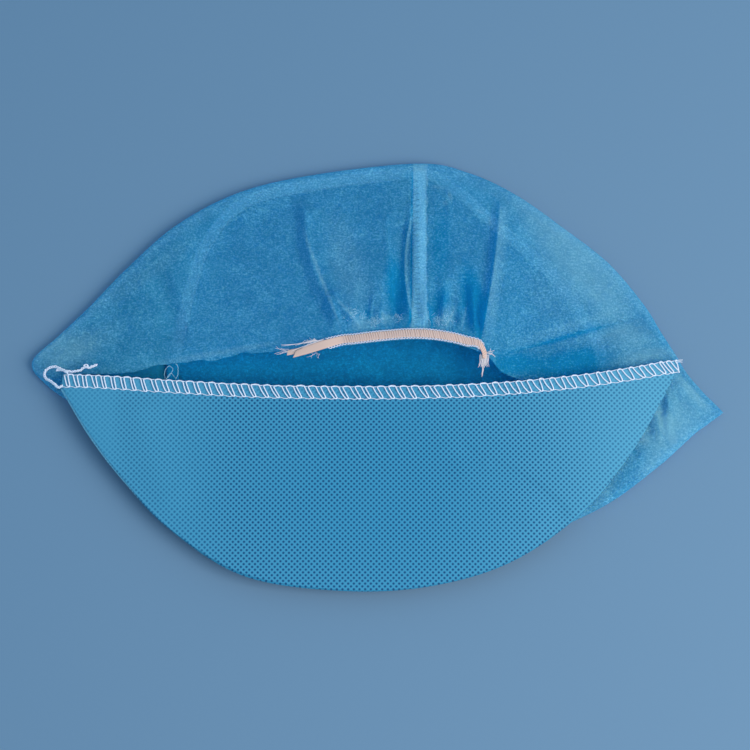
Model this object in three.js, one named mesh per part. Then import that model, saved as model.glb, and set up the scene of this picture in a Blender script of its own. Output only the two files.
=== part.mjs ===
// Disposable peaked cap, lying upside down and flattened on the floor, as sewn.
//
// Units are millimetres, +Z is up, and the origin is the middle of the cap's bounding box on the
// floor. +X runs along the length of the cap, +Y points to the centre back, and the peak lies
// folded back over the crown's front, towards -Y.
//
// The crown is an oval top panel on the floor and a side band sewn round it. The band runs out
// along the floor from the panel, folds over at the cap's outline, and comes back above itself
// to the rim of the head opening.

import * as THREE from 'three';

// ---------------------------------------------------------------- driving sizes

const WALL = 1.0;            // every ply of cloth
const GAP = 0.3;             // between plies that touch on the real cap
const SEAM_WIDTH = 6.5;      // overlocked seam allowance between panel and band
const ELASTIC_WIDTH = 4.5;
const ELASTIC_THICK = 1.0;

// Grid of the side band across its depth, from the panel to the rim.
const FLOOR_STEPS = 2;       // along the floor
const FOLD_STEPS = 4;        // round the fold at the outline
const TOP_STEPS = 12;        // back over the top to the rim
const TOP_CROWDING = 1.25;   // over 1 crowds the top steps towards the rim
const PANEL_SKIP = 2;        // the panel's outline takes every second column

// Seats of the two control points of the top curve, as shares of its length.
const CONTROL_NEAR_FOLD = 0.36;
const CONTROL_NEAR_RIM = 0.34;
const RELIEF_FADE = 0.25;    // share of the top curve over which folds and gathers fade in

// The side band, one row for each station round the cap, from centre back towards -X.
// steps   grid columns to the next station
// rim     the opening's cut edge, outer face
// fold    the outline, where the band turns over
// radius  of that fold
// riseF   how far the top wall climbs just after the fold
// riseR   how far it stands over the rim just before it
// seam    where the band is sewn to the top panel, on the floor
const BAND_COLUMNS = [
  'name', 'steps', 'rimX', 'rimY', 'rimZ', 'foldX', 'foldY', 'radius', 'riseF', 'riseR',
  'seamX', 'seamY',
];
const BAND_ROWS = [
  ['centre_back', 11, 18, 10.4, 15.0, 18, 93.0, 2.6, 3.0, -1.0, 18, 89.6],
  ['elastic_left', 5, -17, 7.8, 13.2, -28, 87.6, 2.6, 2.5, -0.5, -27, 84],
  ['back_left_1', 3, -40, 7.0, 10.4, -60, 79.3, 2.6, 2.0, 0.0, -56, 74.5],
  ['back_left_2', 3, -62, 4.8, 8.4, -86, 64.5, 2.6, 2.0, 0.5, -71.5, 57],
  ['back_left_3', 3, -84, 2.4, 7.2, -106, 45.5, 2.5, 2.0, 0.5, -80.5, 38],
  ['left_1', 3, -105, -1.6, 6.5, -121, 28.7, 2.4, 1.5, 0.5, -86, 19],
  ['left_2', 3, -119, -1.9, 6.0, -133, 16.3, 2.3, 1.0, 0.3, -88.5, 4],
  ['left_end', 3, -132.2, -2.2, 6.2, -144.5, 4.0, 2.2, 0.8, 0.2, -88, -7],
  ['left_under', 3, -131.6, -4.4, 7.0, -138, -8.0, 2.2, 0.6, 0.0, -85.5, -17],
  ['front_left_1', 3, -118, -3.9, 7.9, -124, -20.5, 2.3, 0.6, 0.0, -81, -26],
  ['front_left_2', 3, -97, -5.2, 8.2, -108, -33, 2.5, 0.6, 0.0, -72, -37],
  ['front_left_3', 3, -60, -7.5, 8.5, -82, -50.5, 2.5, 0.4, -0.2, -55, -48],
  ['front_1', 3, -20, -8.7, 8.6, -32, -66, 2.6, 0.4, -0.3, -22, -57],
  ['front_2', 3, 18, -8.6, 8.6, 20, -72.5, 2.6, 0.4, -0.3, 19, -61],
  ['front_3', 3, 52, -7.0, 8.5, 62, -69.5, 2.6, 0.4, -0.3, 57, -57],
  ['front_right_1', 3, 86, -3.6, 8.3, 92, -58, 2.6, 0.6, -0.2, 82, -45],
  ['front_right_2', 2, 103, -1.0, 8.2, 116, -41, 2.6, 0.8, 0.0, 94, -30],
  ['front_right_3', 3, 110.5, 0.3, 8.0, 133, -26, 2.4, 0.8, 0.0, 98, -20],
  ['right_corner', 4, 117, 1.4, 7.8, 144.5, -17.5, 1.5, 1.2, 0.1, 99.5, -11],
  ['right_edge', 3, 120.8, 2.0, 7.4, 137.7, -10.1, 1.6, 1.0, 0.1, 99.8, -7],
  ['right_end', 3, 124.0, 2.9, 6.8, 130.3, -0.8, 1.7, 0.6, 0.0, 99.6, -1],
  ['right_behind', 2, 122.0, 4.9, 6.2, 125.3, 8.2, 1.9, 0.6, 0.0, 98, 7],
  ['right_1', 3, 114, 4.0, 5.6, 120, 17, 2.4, 1.0, 0.2, 95.5, 15],
  ['right_2', 3, 104, -3.5, 4.6, 112.5, 28.5, 2.5, 2.5, 0.6, 90, 26],
  ['back_right_1', 3, 86, -6.5, 4.4, 98, 47, 2.6, 3.5, 0.8, 79, 43],
  ['back_right_2', 4, 70, -6.1, 5.5, 80, 63.5, 2.6, 4.0, 1.5, 63, 59],
  ['back_right_3', 4, 53.4, -2.6, 8.5, 60, 78.6, 2.6, 4.0, 1.5, 49, 72],
  ['elastic_right', 10, 43, 5.6, 13.3, 40, 88.6, 2.6, 3.0, 0.0, 36, 84],
];
const OUTLINE_REACH = 0.3;   // stations either side that set which way the fold faces

// Folds pressed into the back of the band's top wall, each along a line in plan.
// from, to  ends of the line          bow    sideways swell of the line at its middle
// height    of the crest, or depth of a valley if negative
// left      reach of the slope on the side towards -X, and right the reach on the other side
const FOLD_COLUMNS = ['name', 'fromX', 'fromY', 'toX', 'toY', 'bow', 'height', 'left', 'right'];
const FOLD_ROWS = [
  ['left_crease', -95.7, 49.3, -82, 3, 3, -1.6, 9, 5],
  ['curved_fold', -30.4, 67.2, -14.5, 18, -4, 2.4, 5, 12],
  ['short_fold', -17.4, 29.4, -7.7, 17.1, -1, 1.6, 5, 7],
  ['seam_valley', 10.8, 60, 9.5, 22, 0, -2.2, 8, 6],
  ['right_valley', 36, 35, 35, 15, 0, -2.4, 8, 7],
  ['right_fold', 52.6, 71.8, 44, 14, 1, 2.8, 4, 18],
  ['right_crease', 57.7, 5.4, 110.4, 22.8, 1, -1.4, 10, 9],
];
const FOLD_END_FADE = 0.25;  // share of a fold's length over which each end dies away
const FOLDS_START = 5.0;     // distance behind the rim where the folds start to rise
const FOLDS_FULL = 15.0;     // and where they have their full height

// Gathers that the elastic draws into the back rim, between two stations. They start this far
// from the rim, are full at the peak and have died away at the end.
const GATHERS = { first: -1.25, last: 1.2, count: 9, height: 0.9, start: 6.0, peak: 12.0, end: 34.0 };

// The peak's two plies lie on the crown's front. One row for each station from -X to +X.
// seam    sewn edge, under side of the lower ply
// edge    free outer edge
// bow     height of the middle over a straight line from seam to edge
// show    how far the lower ply stands out past the upper one
const PEAK_COLUMNS = ['name', 'seamX', 'seamY', 'seamZ', 'edgeX', 'edgeY', 'edgeZ', 'bow', 'show'];
const PEAK_ROWS = [
  ['left_end', -131.2, -3.4, 7.9, -132, -8.5, 7.2, 0.0, 0.9],
  ['left_1', -124, -3.6, 8.3, -119, -26.8, 6.9, 0.1, 1.0],
  ['left_2', -112, -4.2, 8.6, -104.5, -46, 6.6, 0.3, 0.8],
  ['left_3', -88, -5.9, 8.8, -84, -67.5, 6.4, 0.5, 0.3],
  ['middle_1', -50, -8.1, 9.0, -54, -85.8, 6.3, 0.6, 0.8],
  ['middle_2', -15, -8.8, 9.1, -16, -92.3, 6.3, 0.6, 0.4],
  ['middle_3', 18, -8.6, 9.1, 20, -90.8, 6.3, 0.6, 0.4],
  ['middle_4', 50, -7.2, 9.0, 54, -80.7, 6.4, 0.6, 0.6],
  ['right_1', 82, -4.1, 8.8, 84, -60.5, 6.6, 0.5, 0.2],
  ['right_2', 106, -0.5, 8.6, 105, -35.5, 6.9, 0.3, 0.0],
  ['right_3', 117, 1.6, 8.4, 117, -15.5, 7.5, 0.1, 0.0],
  ['right_end', 124.5, 2.7, 8.0, 123, -4.5, 7.9, 0.0, 0.0],
];
const PEAK_STEPS = { along: 44, across: 6 };

// The elastic is sewn along the rim between two stations. Its loose ends follow these rows, from
// tip to tip: middle of the tape, the way across it (angle in plan from +X) and its tilt from
// flat, both in degrees.
const ELASTIC_SEWN = { first: -1, last: 1, inset: 0.2 };
const END_COLUMNS = ['name', 'x', 'y', 'z', 'across', 'tilt'];
const RIGHT_END_ROWS = [
  ['tip', 43.8, -0.4, 10.4, -6, -4],
  ['hanging', 44.8, 2.4, 13.1, 8, -6],
  ['turning', 45.2, 5.4, 14.5, 38, -6],
];
const LEFT_END_ROWS = [
  ['lifted', -23, 8.2, 14.3, 105, 2],
  ['free', -29.4, 6.0, 14.0, 107, 2],
  ['tip', -34.8, 4.4, 13.3, 100, 0],
];

// ---------------------------------------------------------------- small tools

function table(columns, rows) {
  return rows.map((row) => Object.fromEntries(columns.map((column, i) => [column, row[i]])));
}

function smooth(value) {
  const t = THREE.MathUtils.clamp(value, 0, 1);
  return t * t * (3 - 2 * t);
}

// Curve through points read from two or three columns of a table.
function curveThrough(rows, keys, closed) {
  const points = rows.map((row) => new THREE.Vector3(...keys.map((key) => row[key])));
  return new THREE.CatmullRomCurve3(points, closed, 'catmullrom', 0.5);
}

// Closed body between two grids of points with the same columns and rows. The body lies behind
// the outer grid, as seen with its columns running to the right and its rows running up. Where
// loop is true the last column joins the first, and otherwise the two ends are closed as well.
function bodyBetween(outer, inner, loop) {
  const columns = outer.length;
  const rows = outer[0].length;
  const positions = [...outer.flat(), ...inner.flat()].flatMap((p) => [p.x, p.y, p.z]);
  const index = [];
  const outerAt = (c, r) => (c % columns) * rows + r;
  const innerAt = (c, r) => columns * rows + outerAt(c, r);
  const quad = (a, b, c, d) => index.push(a, b, c, a, c, d);
  const spans = loop ? columns : columns - 1;
  for (let c = 0; c < spans; c += 1) {
    for (let r = 0; r < rows - 1; r += 1) {
      quad(outerAt(c, r), outerAt(c + 1, r), outerAt(c + 1, r + 1), outerAt(c, r + 1));
      quad(innerAt(c, r), innerAt(c, r + 1), innerAt(c + 1, r + 1), innerAt(c + 1, r));
    }
    quad(outerAt(c, 0), innerAt(c, 0), innerAt(c + 1, 0), outerAt(c + 1, 0));
    const last = rows - 1;
    quad(outerAt(c, last), outerAt(c + 1, last), innerAt(c + 1, last), innerAt(c, last));
  }
  if (!loop) {
    const end = columns - 1;
    for (let r = 0; r < rows - 1; r += 1) {
      quad(outerAt(0, r), outerAt(0, r + 1), innerAt(0, r + 1), innerAt(0, r));
      quad(outerAt(end, r), innerAt(end, r), innerAt(end, r + 1), outerAt(end, r + 1));
    }
  }
  const geometry = new THREE.BufferGeometry();
  geometry.setAttribute('position', new THREE.Float32BufferAttribute(positions, 3));
  geometry.setIndex(index);
  return geometry;
}

function namedMesh(name, geometry, color, roughness) {
  const material = new THREE.MeshStandardMaterial({ color, roughness, metalness: 0 });
  const mesh = new THREE.Mesh(geometry, material);
  mesh.name = name;
  return mesh;
}

// ---------------------------------------------------------------- side band surface

const band = table(BAND_COLUMNS, BAND_ROWS);
const rimCurve = curveThrough(band, ['rimX', 'rimY', 'rimZ'], true);
const foldCurve = curveThrough(band, ['foldX', 'foldY', 'radius'], true);
const riseCurve = curveThrough(band, ['riseF', 'riseR'], true);
const seamCurve = curveThrough(band, ['seamX', 'seamY'], true);
const folds = table(FOLD_COLUMNS, FOLD_ROWS);

// Station numbers count round the band from 0 at centre back, and wrap.
function atStation(curve, station) {
  const wrapped = ((station % band.length) + band.length) % band.length;
  return curve.getPoint(wrapped / band.length);
}

// Height that one fold adds at a point in plan.
function foldHeight(fold, x, y) {
  const alongX = fold.toX - fold.fromX;
  const alongY = fold.toY - fold.fromY;
  const length = Math.hypot(alongX, alongY);
  const share = ((x - fold.fromX) * alongX + (y - fold.fromY) * alongY) / (length * length);
  const side = ((x - fold.fromX) * -alongY + (y - fold.fromY) * alongX) / length;
  const clamped = THREE.MathUtils.clamp(share, 0, 1);
  const offset = side - fold.bow * 4 * clamped * (1 - clamped);
  const reach = offset < 0 ? fold.left : fold.right;
  const across = smooth(1 - Math.abs(offset) / reach);
  const start = smooth(1 + share / FOLD_END_FADE);
  const end = smooth(1 + (1 - share) / FOLD_END_FADE);
  return fold.height * across * start * end;
}

// Height that the gathers add, from the station and the distance to the rim.
function gatherHeight(station, distance) {
  const turn = station < band.length / 2 ? station : station - band.length;
  const share = (turn - GATHERS.first) / (GATHERS.last - GATHERS.first);
  if (share <= 0 || share >= 1) return 0;
  const rising = smooth((distance - GATHERS.start) / (GATHERS.peak - GATHERS.start));
  const dying = smooth((GATHERS.end - distance) / (GATHERS.end - GATHERS.peak));
  const sides = smooth(share * GATHERS.count) * smooth((1 - share) * GATHERS.count);
  return GATHERS.height * Math.sin(share * GATHERS.count * 2 * Math.PI) * rising * dying * sides;
}

// Folds and gathers together, at a point of the top wall. Folds lie in its back half alone.
function reliefAt(station, point, rim) {
  const towardsBack = smooth((point.y - rim.y - FOLDS_START) / (FOLDS_FULL - FOLDS_START));
  const lift = folds.reduce((sum, fold) => sum + foldHeight(fold, point.x, point.y), 0);
  return towardsBack * lift + gatherHeight(station, Math.hypot(point.x - rim.x, point.y - rim.y));
}

// The band at one station, from the panel to the rim: its outer face, or the face that lies a
// depth inside it.
function bandSection(station, depth) {
  const rim = atStation(rimCurve, station);
  const fold = atStation(foldCurve, station);
  const rise = atStation(riseCurve, station);
  const seam = atStation(seamCurve, station).setZ(depth);
  const radius = fold.z;
  const ahead = atStation(foldCurve, station + OUTLINE_REACH);
  ahead.sub(atStation(foldCurve, station - OUTLINE_REACH));
  const outward = new THREE.Vector3(ahead.y, -ahead.x, 0).normalize();
  const turn = new THREE.Vector3(fold.x, fold.y, 0).addScaledVector(outward, -radius);
  const points = [];

  for (let i = 0; i < FLOOR_STEPS; i += 1) {
    points.push(seam.clone().lerp(turn, i / FLOOR_STEPS).setZ(depth));
  }

  for (let i = 0; i < FOLD_STEPS; i += 1) {
    const angle = Math.PI * (i / FOLD_STEPS - 0.5);
    const reach = (radius - depth) * Math.cos(angle);
    const point = turn.clone().addScaledVector(outward, reach);
    points.push(point.setZ(radius + (radius - depth) * Math.sin(angle)));
  }

  const top = turn.clone().setZ(2 * radius);
  const nearFold = top.clone().lerp(rim, CONTROL_NEAR_FOLD);
  nearFold.z = top.z + rise.x;
  const nearRim = rim.clone().lerp(top, CONTROL_NEAR_RIM);
  nearRim.z = rim.z + rise.y;
  const topCurve = new THREE.CubicBezierCurve3(top, nearFold, nearRim, rim);
  for (let i = 0; i <= TOP_STEPS; i += 1) {
    const share = 1 - (1 - i / TOP_STEPS) ** TOP_CROWDING;
    const point = topCurve.getPoint(share);
    point.z += smooth(share / RELIEF_FADE) * reliefAt(station, point, rim) - depth;
    points.push(point);
  }
  return points;
}

// The grid of stations between two of them, at the columns that the table's steps ask for.
function bandStations(first, last) {
  const stations = [];
  for (let i = first; i < last; i += 1) {
    const { steps } = band[(i + band.length) % band.length];
    for (let k = 0; k < steps; k += 1) {
      stations.push(i + k / steps);
    }
  }
  return stations;
}

function sideBand() {
  const stations = bandStations(0, band.length);
  const outer = stations.map((station) => bandSection(station, 0));
  const inner = stations.map((station) => bandSection(station, WALL));
  return bodyBetween(outer, inner, true);
}

// ---------------------------------------------------------------- panel and seam allowances

// Loop round the panel's seam, moved inwards on the floor by a distance.
function panelLoop(inset, height) {
  const stations = bandStations(0, band.length).filter((station, i) => i % PANEL_SKIP === 0);
  return stations.map((station) => {
    const point = atStation(seamCurve, station);
    const ahead = atStation(seamCurve, station + OUTLINE_REACH);
    ahead.sub(atStation(seamCurve, station - OUTLINE_REACH));
    const outward = new THREE.Vector3(ahead.y, -ahead.x, 0).normalize();
    return point.addScaledVector(outward, -inset).setZ(height);
  });
}

function topPanel() {
  const outline = new THREE.Shape(panelLoop(GAP, 0));
  return new THREE.ExtrudeGeometry(outline, { depth: WALL, bevelEnabled: false });
}

// The allowance of panel and band, overlocked together and turned in over the panel.
function crownSeam() {
  const low = WALL + GAP;
  const outside = panelLoop(2 * GAP, low);
  const inside = panelLoop(2 * GAP + SEAM_WIDTH, low);
  const under = outside.map((point, i) => [point, inside[i]]);
  const over = under.map((pair) => pair.map((point) => point.clone().setZ(low + WALL)));
  return bodyBetween(over, under, true);
}

// The allowance at centre back, hanging under the top wall from the rim to the fold.
function backSeam() {
  const stations = [-1 / band.at(-1).steps, 0, 1 / band[0].steps];
  const first = FLOOR_STEPS + FOLD_STEPS + 1;
  const strip = (depth) => stations.map((station) => bandSection(station, depth).slice(first, -1));
  return bodyBetween(strip(WALL + GAP), strip(2 * WALL + GAP), false);
}

// ---------------------------------------------------------------- peak

const peak = table(PEAK_COLUMNS, PEAK_ROWS);
const peakSeam = curveThrough(peak, ['seamX', 'seamY', 'seamZ'], false);
const peakEdge = curveThrough(peak, ['edgeX', 'edgeY', 'edgeZ'], false);
const peakShape = curveThrough(peak, ['bow', 'show'], false);

// One face of a ply as a grid, at a height over the peak's under side.
function peakFace(height, standsOut) {
  const columns = [];
  for (let i = 0; i <= PEAK_STEPS.along; i += 1) {
    const share = i / PEAK_STEPS.along;
    const seam = peakSeam.getPoint(share);
    const edge = peakEdge.getPoint(share);
    const shape = peakShape.getPoint(share);
    const outward = edge.clone().sub(seam).setZ(0).normalize();
    const points = [];
    for (let j = 0; j <= PEAK_STEPS.across; j += 1) {
      const across = j / PEAK_STEPS.across;
      const point = seam.clone().lerp(edge, across);
      point.z += height + shape.x * 4 * across * (1 - across);
      points.push(point);
    }
    points.at(-1).addScaledVector(outward, standsOut * shape.y);
    columns.push(points);
  }
  return columns;
}

function peakPly(height, standsOut) {
  return bodyBetween(peakFace(height, standsOut), peakFace(height + WALL, standsOut), false);
}

// ---------------------------------------------------------------- elastic

// Point of the band's outer face at a distance from the rim.
function nearRim(station, distance) {
  const points = bandSection(station, 0).reverse();
  let left = distance;
  let i = 0;
  while (left > points[i].distanceTo(points[i + 1])) {
    left -= points[i].distanceTo(points[i + 1]);
    i += 1;
  }
  return points[i].clone().lerp(points[i + 1], left / points[i].distanceTo(points[i + 1]));
}

function elastic() {
  const looseEnd = (rows) => table(END_COLUMNS, rows).map((row) => {
    const turn = THREE.MathUtils.degToRad(row.across);
    const tilt = THREE.MathUtils.degToRad(row.tilt);
    const level = Math.cos(tilt);
    const across = new THREE.Vector3(Math.cos(turn) * level, Math.sin(turn) * level, Math.sin(tilt));
    const middle = new THREE.Vector3(row.x, row.y, row.z);
    return [-0.5, 0.5].map((side) => middle.clone().addScaledVector(across, side * ELASTIC_WIDTH));
  });
  const { first, last, inset } = ELASTIC_SEWN;
  const sewn = [...bandStations(first, last), last].map((station) => {
    const edges = [nearRim(station, inset), nearRim(station, inset + ELASTIC_WIDTH)];
    edges.forEach((point) => point.setZ(point.z + GAP));
    return edges;
  });
  const under = [...looseEnd(RIGHT_END_ROWS), ...sewn, ...looseEnd(LEFT_END_ROWS)];
  const over = under.map((pair) => pair.map((point) => point.clone().setZ(point.z + ELASTIC_THICK)));
  return bodyBetween(under, over, false);
}

// ---------------------------------------------------------------- the cap

const CROWN_BLUE = new THREE.Color(0.26, 0.56, 0.74);
const SEAM_BLUE = new THREE.Color(0.42, 0.67, 0.8);
const PEAK_BLUE = new THREE.Color(0.22, 0.53, 0.71);
const CREAM = new THREE.Color(0.86, 0.78, 0.74);
const NONWOVEN_ROUGHNESS = 0.9;
const ELASTIC_ROUGHNESS = 0.8;

const cap = new THREE.Group();
cap.add(namedMesh('top_panel', topPanel(), CROWN_BLUE, NONWOVEN_ROUGHNESS));
cap.add(namedMesh('side_band', sideBand(), CROWN_BLUE, NONWOVEN_ROUGHNESS));
cap.add(namedMesh('crown_seam', crownSeam(), SEAM_BLUE, NONWOVEN_ROUGHNESS));
cap.add(namedMesh('back_seam', backSeam(), SEAM_BLUE, NONWOVEN_ROUGHNESS));
cap.add(namedMesh('peak_under_ply', peakPly(0, 1), PEAK_BLUE, NONWOVEN_ROUGHNESS));
cap.add(namedMesh('peak_upper_ply', peakPly(WALL + GAP, 0), PEAK_BLUE, NONWOVEN_ROUGHNESS));
cap.add(namedMesh('elastic', elastic(), CREAM, ELASTIC_ROUGHNESS));

export default cap;
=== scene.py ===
import math

import bmesh
import bpy
import numpy as np
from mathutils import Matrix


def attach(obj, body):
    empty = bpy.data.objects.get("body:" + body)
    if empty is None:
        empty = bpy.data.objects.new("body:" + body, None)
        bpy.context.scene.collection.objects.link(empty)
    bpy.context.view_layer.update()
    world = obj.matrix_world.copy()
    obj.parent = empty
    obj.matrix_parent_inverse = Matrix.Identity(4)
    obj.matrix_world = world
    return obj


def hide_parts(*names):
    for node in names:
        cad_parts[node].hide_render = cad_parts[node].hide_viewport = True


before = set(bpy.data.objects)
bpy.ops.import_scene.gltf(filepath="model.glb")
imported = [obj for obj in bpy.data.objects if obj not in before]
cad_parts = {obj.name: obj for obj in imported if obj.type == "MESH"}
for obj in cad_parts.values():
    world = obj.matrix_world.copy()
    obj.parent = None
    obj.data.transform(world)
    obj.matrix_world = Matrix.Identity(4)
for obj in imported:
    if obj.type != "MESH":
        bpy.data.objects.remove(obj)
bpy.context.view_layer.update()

MM = 0.001

# ---------------------------------------------------------------- the studio
# A plain matt table, pale blue-grey, under a broad soft lamp on the right and a weak even sky.
# The camera looks down on the cap's middle from the peak's side.

CAMERA_TARGET = np.array([-0.6, -0.78, 0.0]) * MM
CAMERA_DISTANCE = 744 * MM
CAMERA_ELEVATION = math.radians(75)
CAMERA_LENS = 85.0
TABLE_HALF = 3.0
TABLE_BLUE = (0.108, 0.214, 0.345, 1.0)
SKY_BLUE = (0.60, 0.83, 1.0, 1.0)
SKY_STRENGTH = 0.76
LAMP_PLACE = (0.86, -0.40, 0.83)
LAMP_SIZE = 0.82
LAMP_WATTS = 19.6
LAMP_WHITE = (1.0, 0.83, 0.70)

camera_data = bpy.data.cameras.new("studio_camera")
camera_data.lens = CAMERA_LENS
camera_data.sensor_width = 36.0
camera_data.clip_start = 0.01
camera = bpy.data.objects.new("studio_camera", camera_data)
camera_back = np.array([0.0, -math.cos(CAMERA_ELEVATION), math.sin(CAMERA_ELEVATION)])
camera.location = CAMERA_TARGET + CAMERA_DISTANCE * camera_back
camera.rotation_euler = (math.pi / 2 - CAMERA_ELEVATION, 0.0, 0.0)
bpy.context.scene.collection.objects.link(camera)
bpy.context.scene.camera = camera
bpy.context.scene.view_settings.view_transform = "Standard"

lamp_data = bpy.data.lights.new("soft_lamp", "AREA")
lamp_data.size = LAMP_SIZE
lamp_data.energy = LAMP_WATTS
lamp_data.color = LAMP_WHITE
lamp = bpy.data.objects.new("soft_lamp", lamp_data)
lamp.location = LAMP_PLACE
lamp.rotation_euler = (
    math.atan2(math.hypot(LAMP_PLACE[0], LAMP_PLACE[1]), LAMP_PLACE[2]),
    0.0,
    math.atan2(LAMP_PLACE[1], LAMP_PLACE[0]) + math.pi / 2,
)
bpy.context.scene.collection.objects.link(lamp)

world = bpy.data.worlds.new("studio_sky")
world.use_nodes = True
world.node_tree.nodes["Background"].inputs["Color"].default_value = SKY_BLUE
world.node_tree.nodes["Background"].inputs["Strength"].default_value = SKY_STRENGTH
bpy.context.scene.world = world


def fill(tree, node, inputs):
    """Links each input that is given another node's output, and sets each that is given a value."""
    for key, value in inputs.items():
        if isinstance(value, bpy.types.NodeSocket):
            tree.links.new(value, node.inputs[key])
        else:
            node.inputs[key].default_value = value


def principled(name, roughness, specular):
    """A new material with these values on its Principled shader; gives material, node tree and shader."""
    material = bpy.data.materials.new(name)
    material.use_nodes = True
    tree = material.node_tree
    shader = tree.nodes["Principled BSDF"]
    fill(tree, shader, {"Roughness": roughness, "Specular IOR Level": specular})
    return material, tree, shader


def plain_finish(name, colour, roughness, specular, alpha=1.0):
    """A material of one colour all over."""
    material, tree, shader = principled(name, roughness, specular)
    fill(tree, shader, {"Base Color": colour, "Alpha": alpha})
    return material


table_corners = [(x * TABLE_HALF, y * TABLE_HALF, 0.0) for x, y in ((-1, -1), (1, -1), (1, 1), (-1, 1))]
table_mesh = bpy.data.meshes.new("table")
table_mesh.from_pydata(table_corners, [], [(0, 1, 2, 3)])
table_mesh.materials.append(plain_finish("table_matt", TABLE_BLUE, roughness=0.75, specular=0.2))
table_top = bpy.data.objects.new("table", table_mesh)
bpy.context.scene.collection.objects.link(table_top)

# ---------------------------------------------------------------- side band
# One strip of thin spunbonded cloth, sewn to the top panel on the floor. It runs out to the
# cap's outline, folds over, and comes back to the rim of the opening, where the elastic gathers it.

BAND_COLUMNS = "steps rim_x rim_y rim_z fold_x fold_y radius rise_fold rise_rim seam_x seam_y".split()
BAND_ROWS = {
    "centre_back": (11, 18, 10.4, 15.0, 18, 93.0, 2.6, 3.0, -1.0, 18, 89.6),
    "elastic_left": (5, -17, 7.8, 13.2, -28, 87.6, 2.6, 2.5, -0.5, -27, 84),
    "back_left_1": (3, -40, 7.0, 10.4, -60, 79.3, 2.6, 2.0, 0.0, -56, 74.5),
    "back_left_2": (3, -62, 4.8, 8.4, -86, 64.5, 2.6, 2.0, 0.5, -71.5, 57),
    "back_left_3": (3, -84, 2.4, 7.2, -106, 45.5, 2.5, 2.0, 0.5, -80.5, 38),
    "left_1": (3, -105, -1.6, 6.5, -121, 28.7, 2.4, 1.5, 0.5, -86, 19),
    "left_2": (3, -119, -1.9, 6.0, -133, 16.3, 2.3, 1.0, 0.3, -88.5, 4),
    "left_end": (3, -129.4, -2.7, 6.2, -144.5, 4.0, 2.2, 0.8, 0.2, -88, -7),
    "left_under": (3, -129.0, -4.8, 7.0, -137.5, -6.2, 2.2, 0.6, 0.0, -85.5, -17),
    "front_left_1": (3, -118, -3.9, 7.9, -122, -17.5, 2.3, 0.6, 0.0, -81, -26),
    "front_left_2": (3, -97, -5.2, 8.2, -108, -33, 2.5, 0.6, 0.0, -72, -37),
    "front_left_3": (3, -60, -7.5, 8.5, -82, -50.5, 2.5, 0.4, -0.2, -55, -48),
    "front_1": (3, -20, -8.7, 8.6, -32, -66, 2.6, 0.4, -0.3, -22, -57),
    "front_2": (3, 18, -8.6, 8.6, 20, -72.5, 2.6, 0.4, -0.3, 19, -61),
    "front_3": (3, 52, -7.0, 8.5, 62, -69.5, 2.6, 0.4, -0.3, 57, -57),
    "front_right_1": (3, 86, -3.6, 8.3, 92, -58, 2.6, 0.6, -0.2, 82, -45),
    "front_right_2": (2, 103, -1.0, 8.2, 116, -41, 2.6, 0.8, 0.0, 94, -30),
    "front_right_3": (3, 110.5, 0.3, 8.0, 133, -26, 2.4, 0.8, 0.0, 98, -20),
    "right_corner": (4, 117, 1.4, 7.8, 144.5, -17.5, 1.5, 1.2, 0.1, 99.5, -11),
    "right_edge": (3, 120.8, 2.0, 7.4, 137.7, -10.1, 1.6, 1.0, 0.1, 99.8, -7),
    "right_end": (3, 124.0, 2.9, 6.8, 130.3, -0.8, 1.7, 0.6, 0.0, 99.6, -1),
    "right_behind": (2, 122.0, 3.4, 8.3, 125.3, 8.2, 1.9, 0.6, 0.0, 98, 7),
    "right_1": (3, 114, 0.4, 8.4, 120, 17, 2.4, 1.0, 0.2, 95.5, 15),
    "right_2": (3, 104, -4.0, 7.4, 113.0, 29.4, 2.5, 2.5, 0.6, 90, 26),
    "back_right_1": (3, 86, -6.5, 5.2, 98.8, 47.6, 2.6, 3.5, 0.8, 79, 43),
    "back_right_2": (4, 70, -6.1, 5.5, 80, 63.5, 2.6, 4.0, 1.5, 63, 59),
    "back_right_3": (4, 53.4, -2.6, 8.5, 60, 78.6, 2.6, 4.0, 1.5, 49, 72),
    "elastic_right": (10, 43, 5.6, 13.3, 40, 88.6, 2.6, 3.0, 0.0, 36, 84),
}
CONTROL_NEAR_FOLD = 0.36
CONTROL_NEAR_RIM = 0.34
OUTLINE_REACH = 0.3
SHARP_CORNER = list(BAND_ROWS).index("right_corner")
SHARPNESS = 0.85
RELIEF_FADE = 0.25
TOP_CROWDING = 1.25

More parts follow.
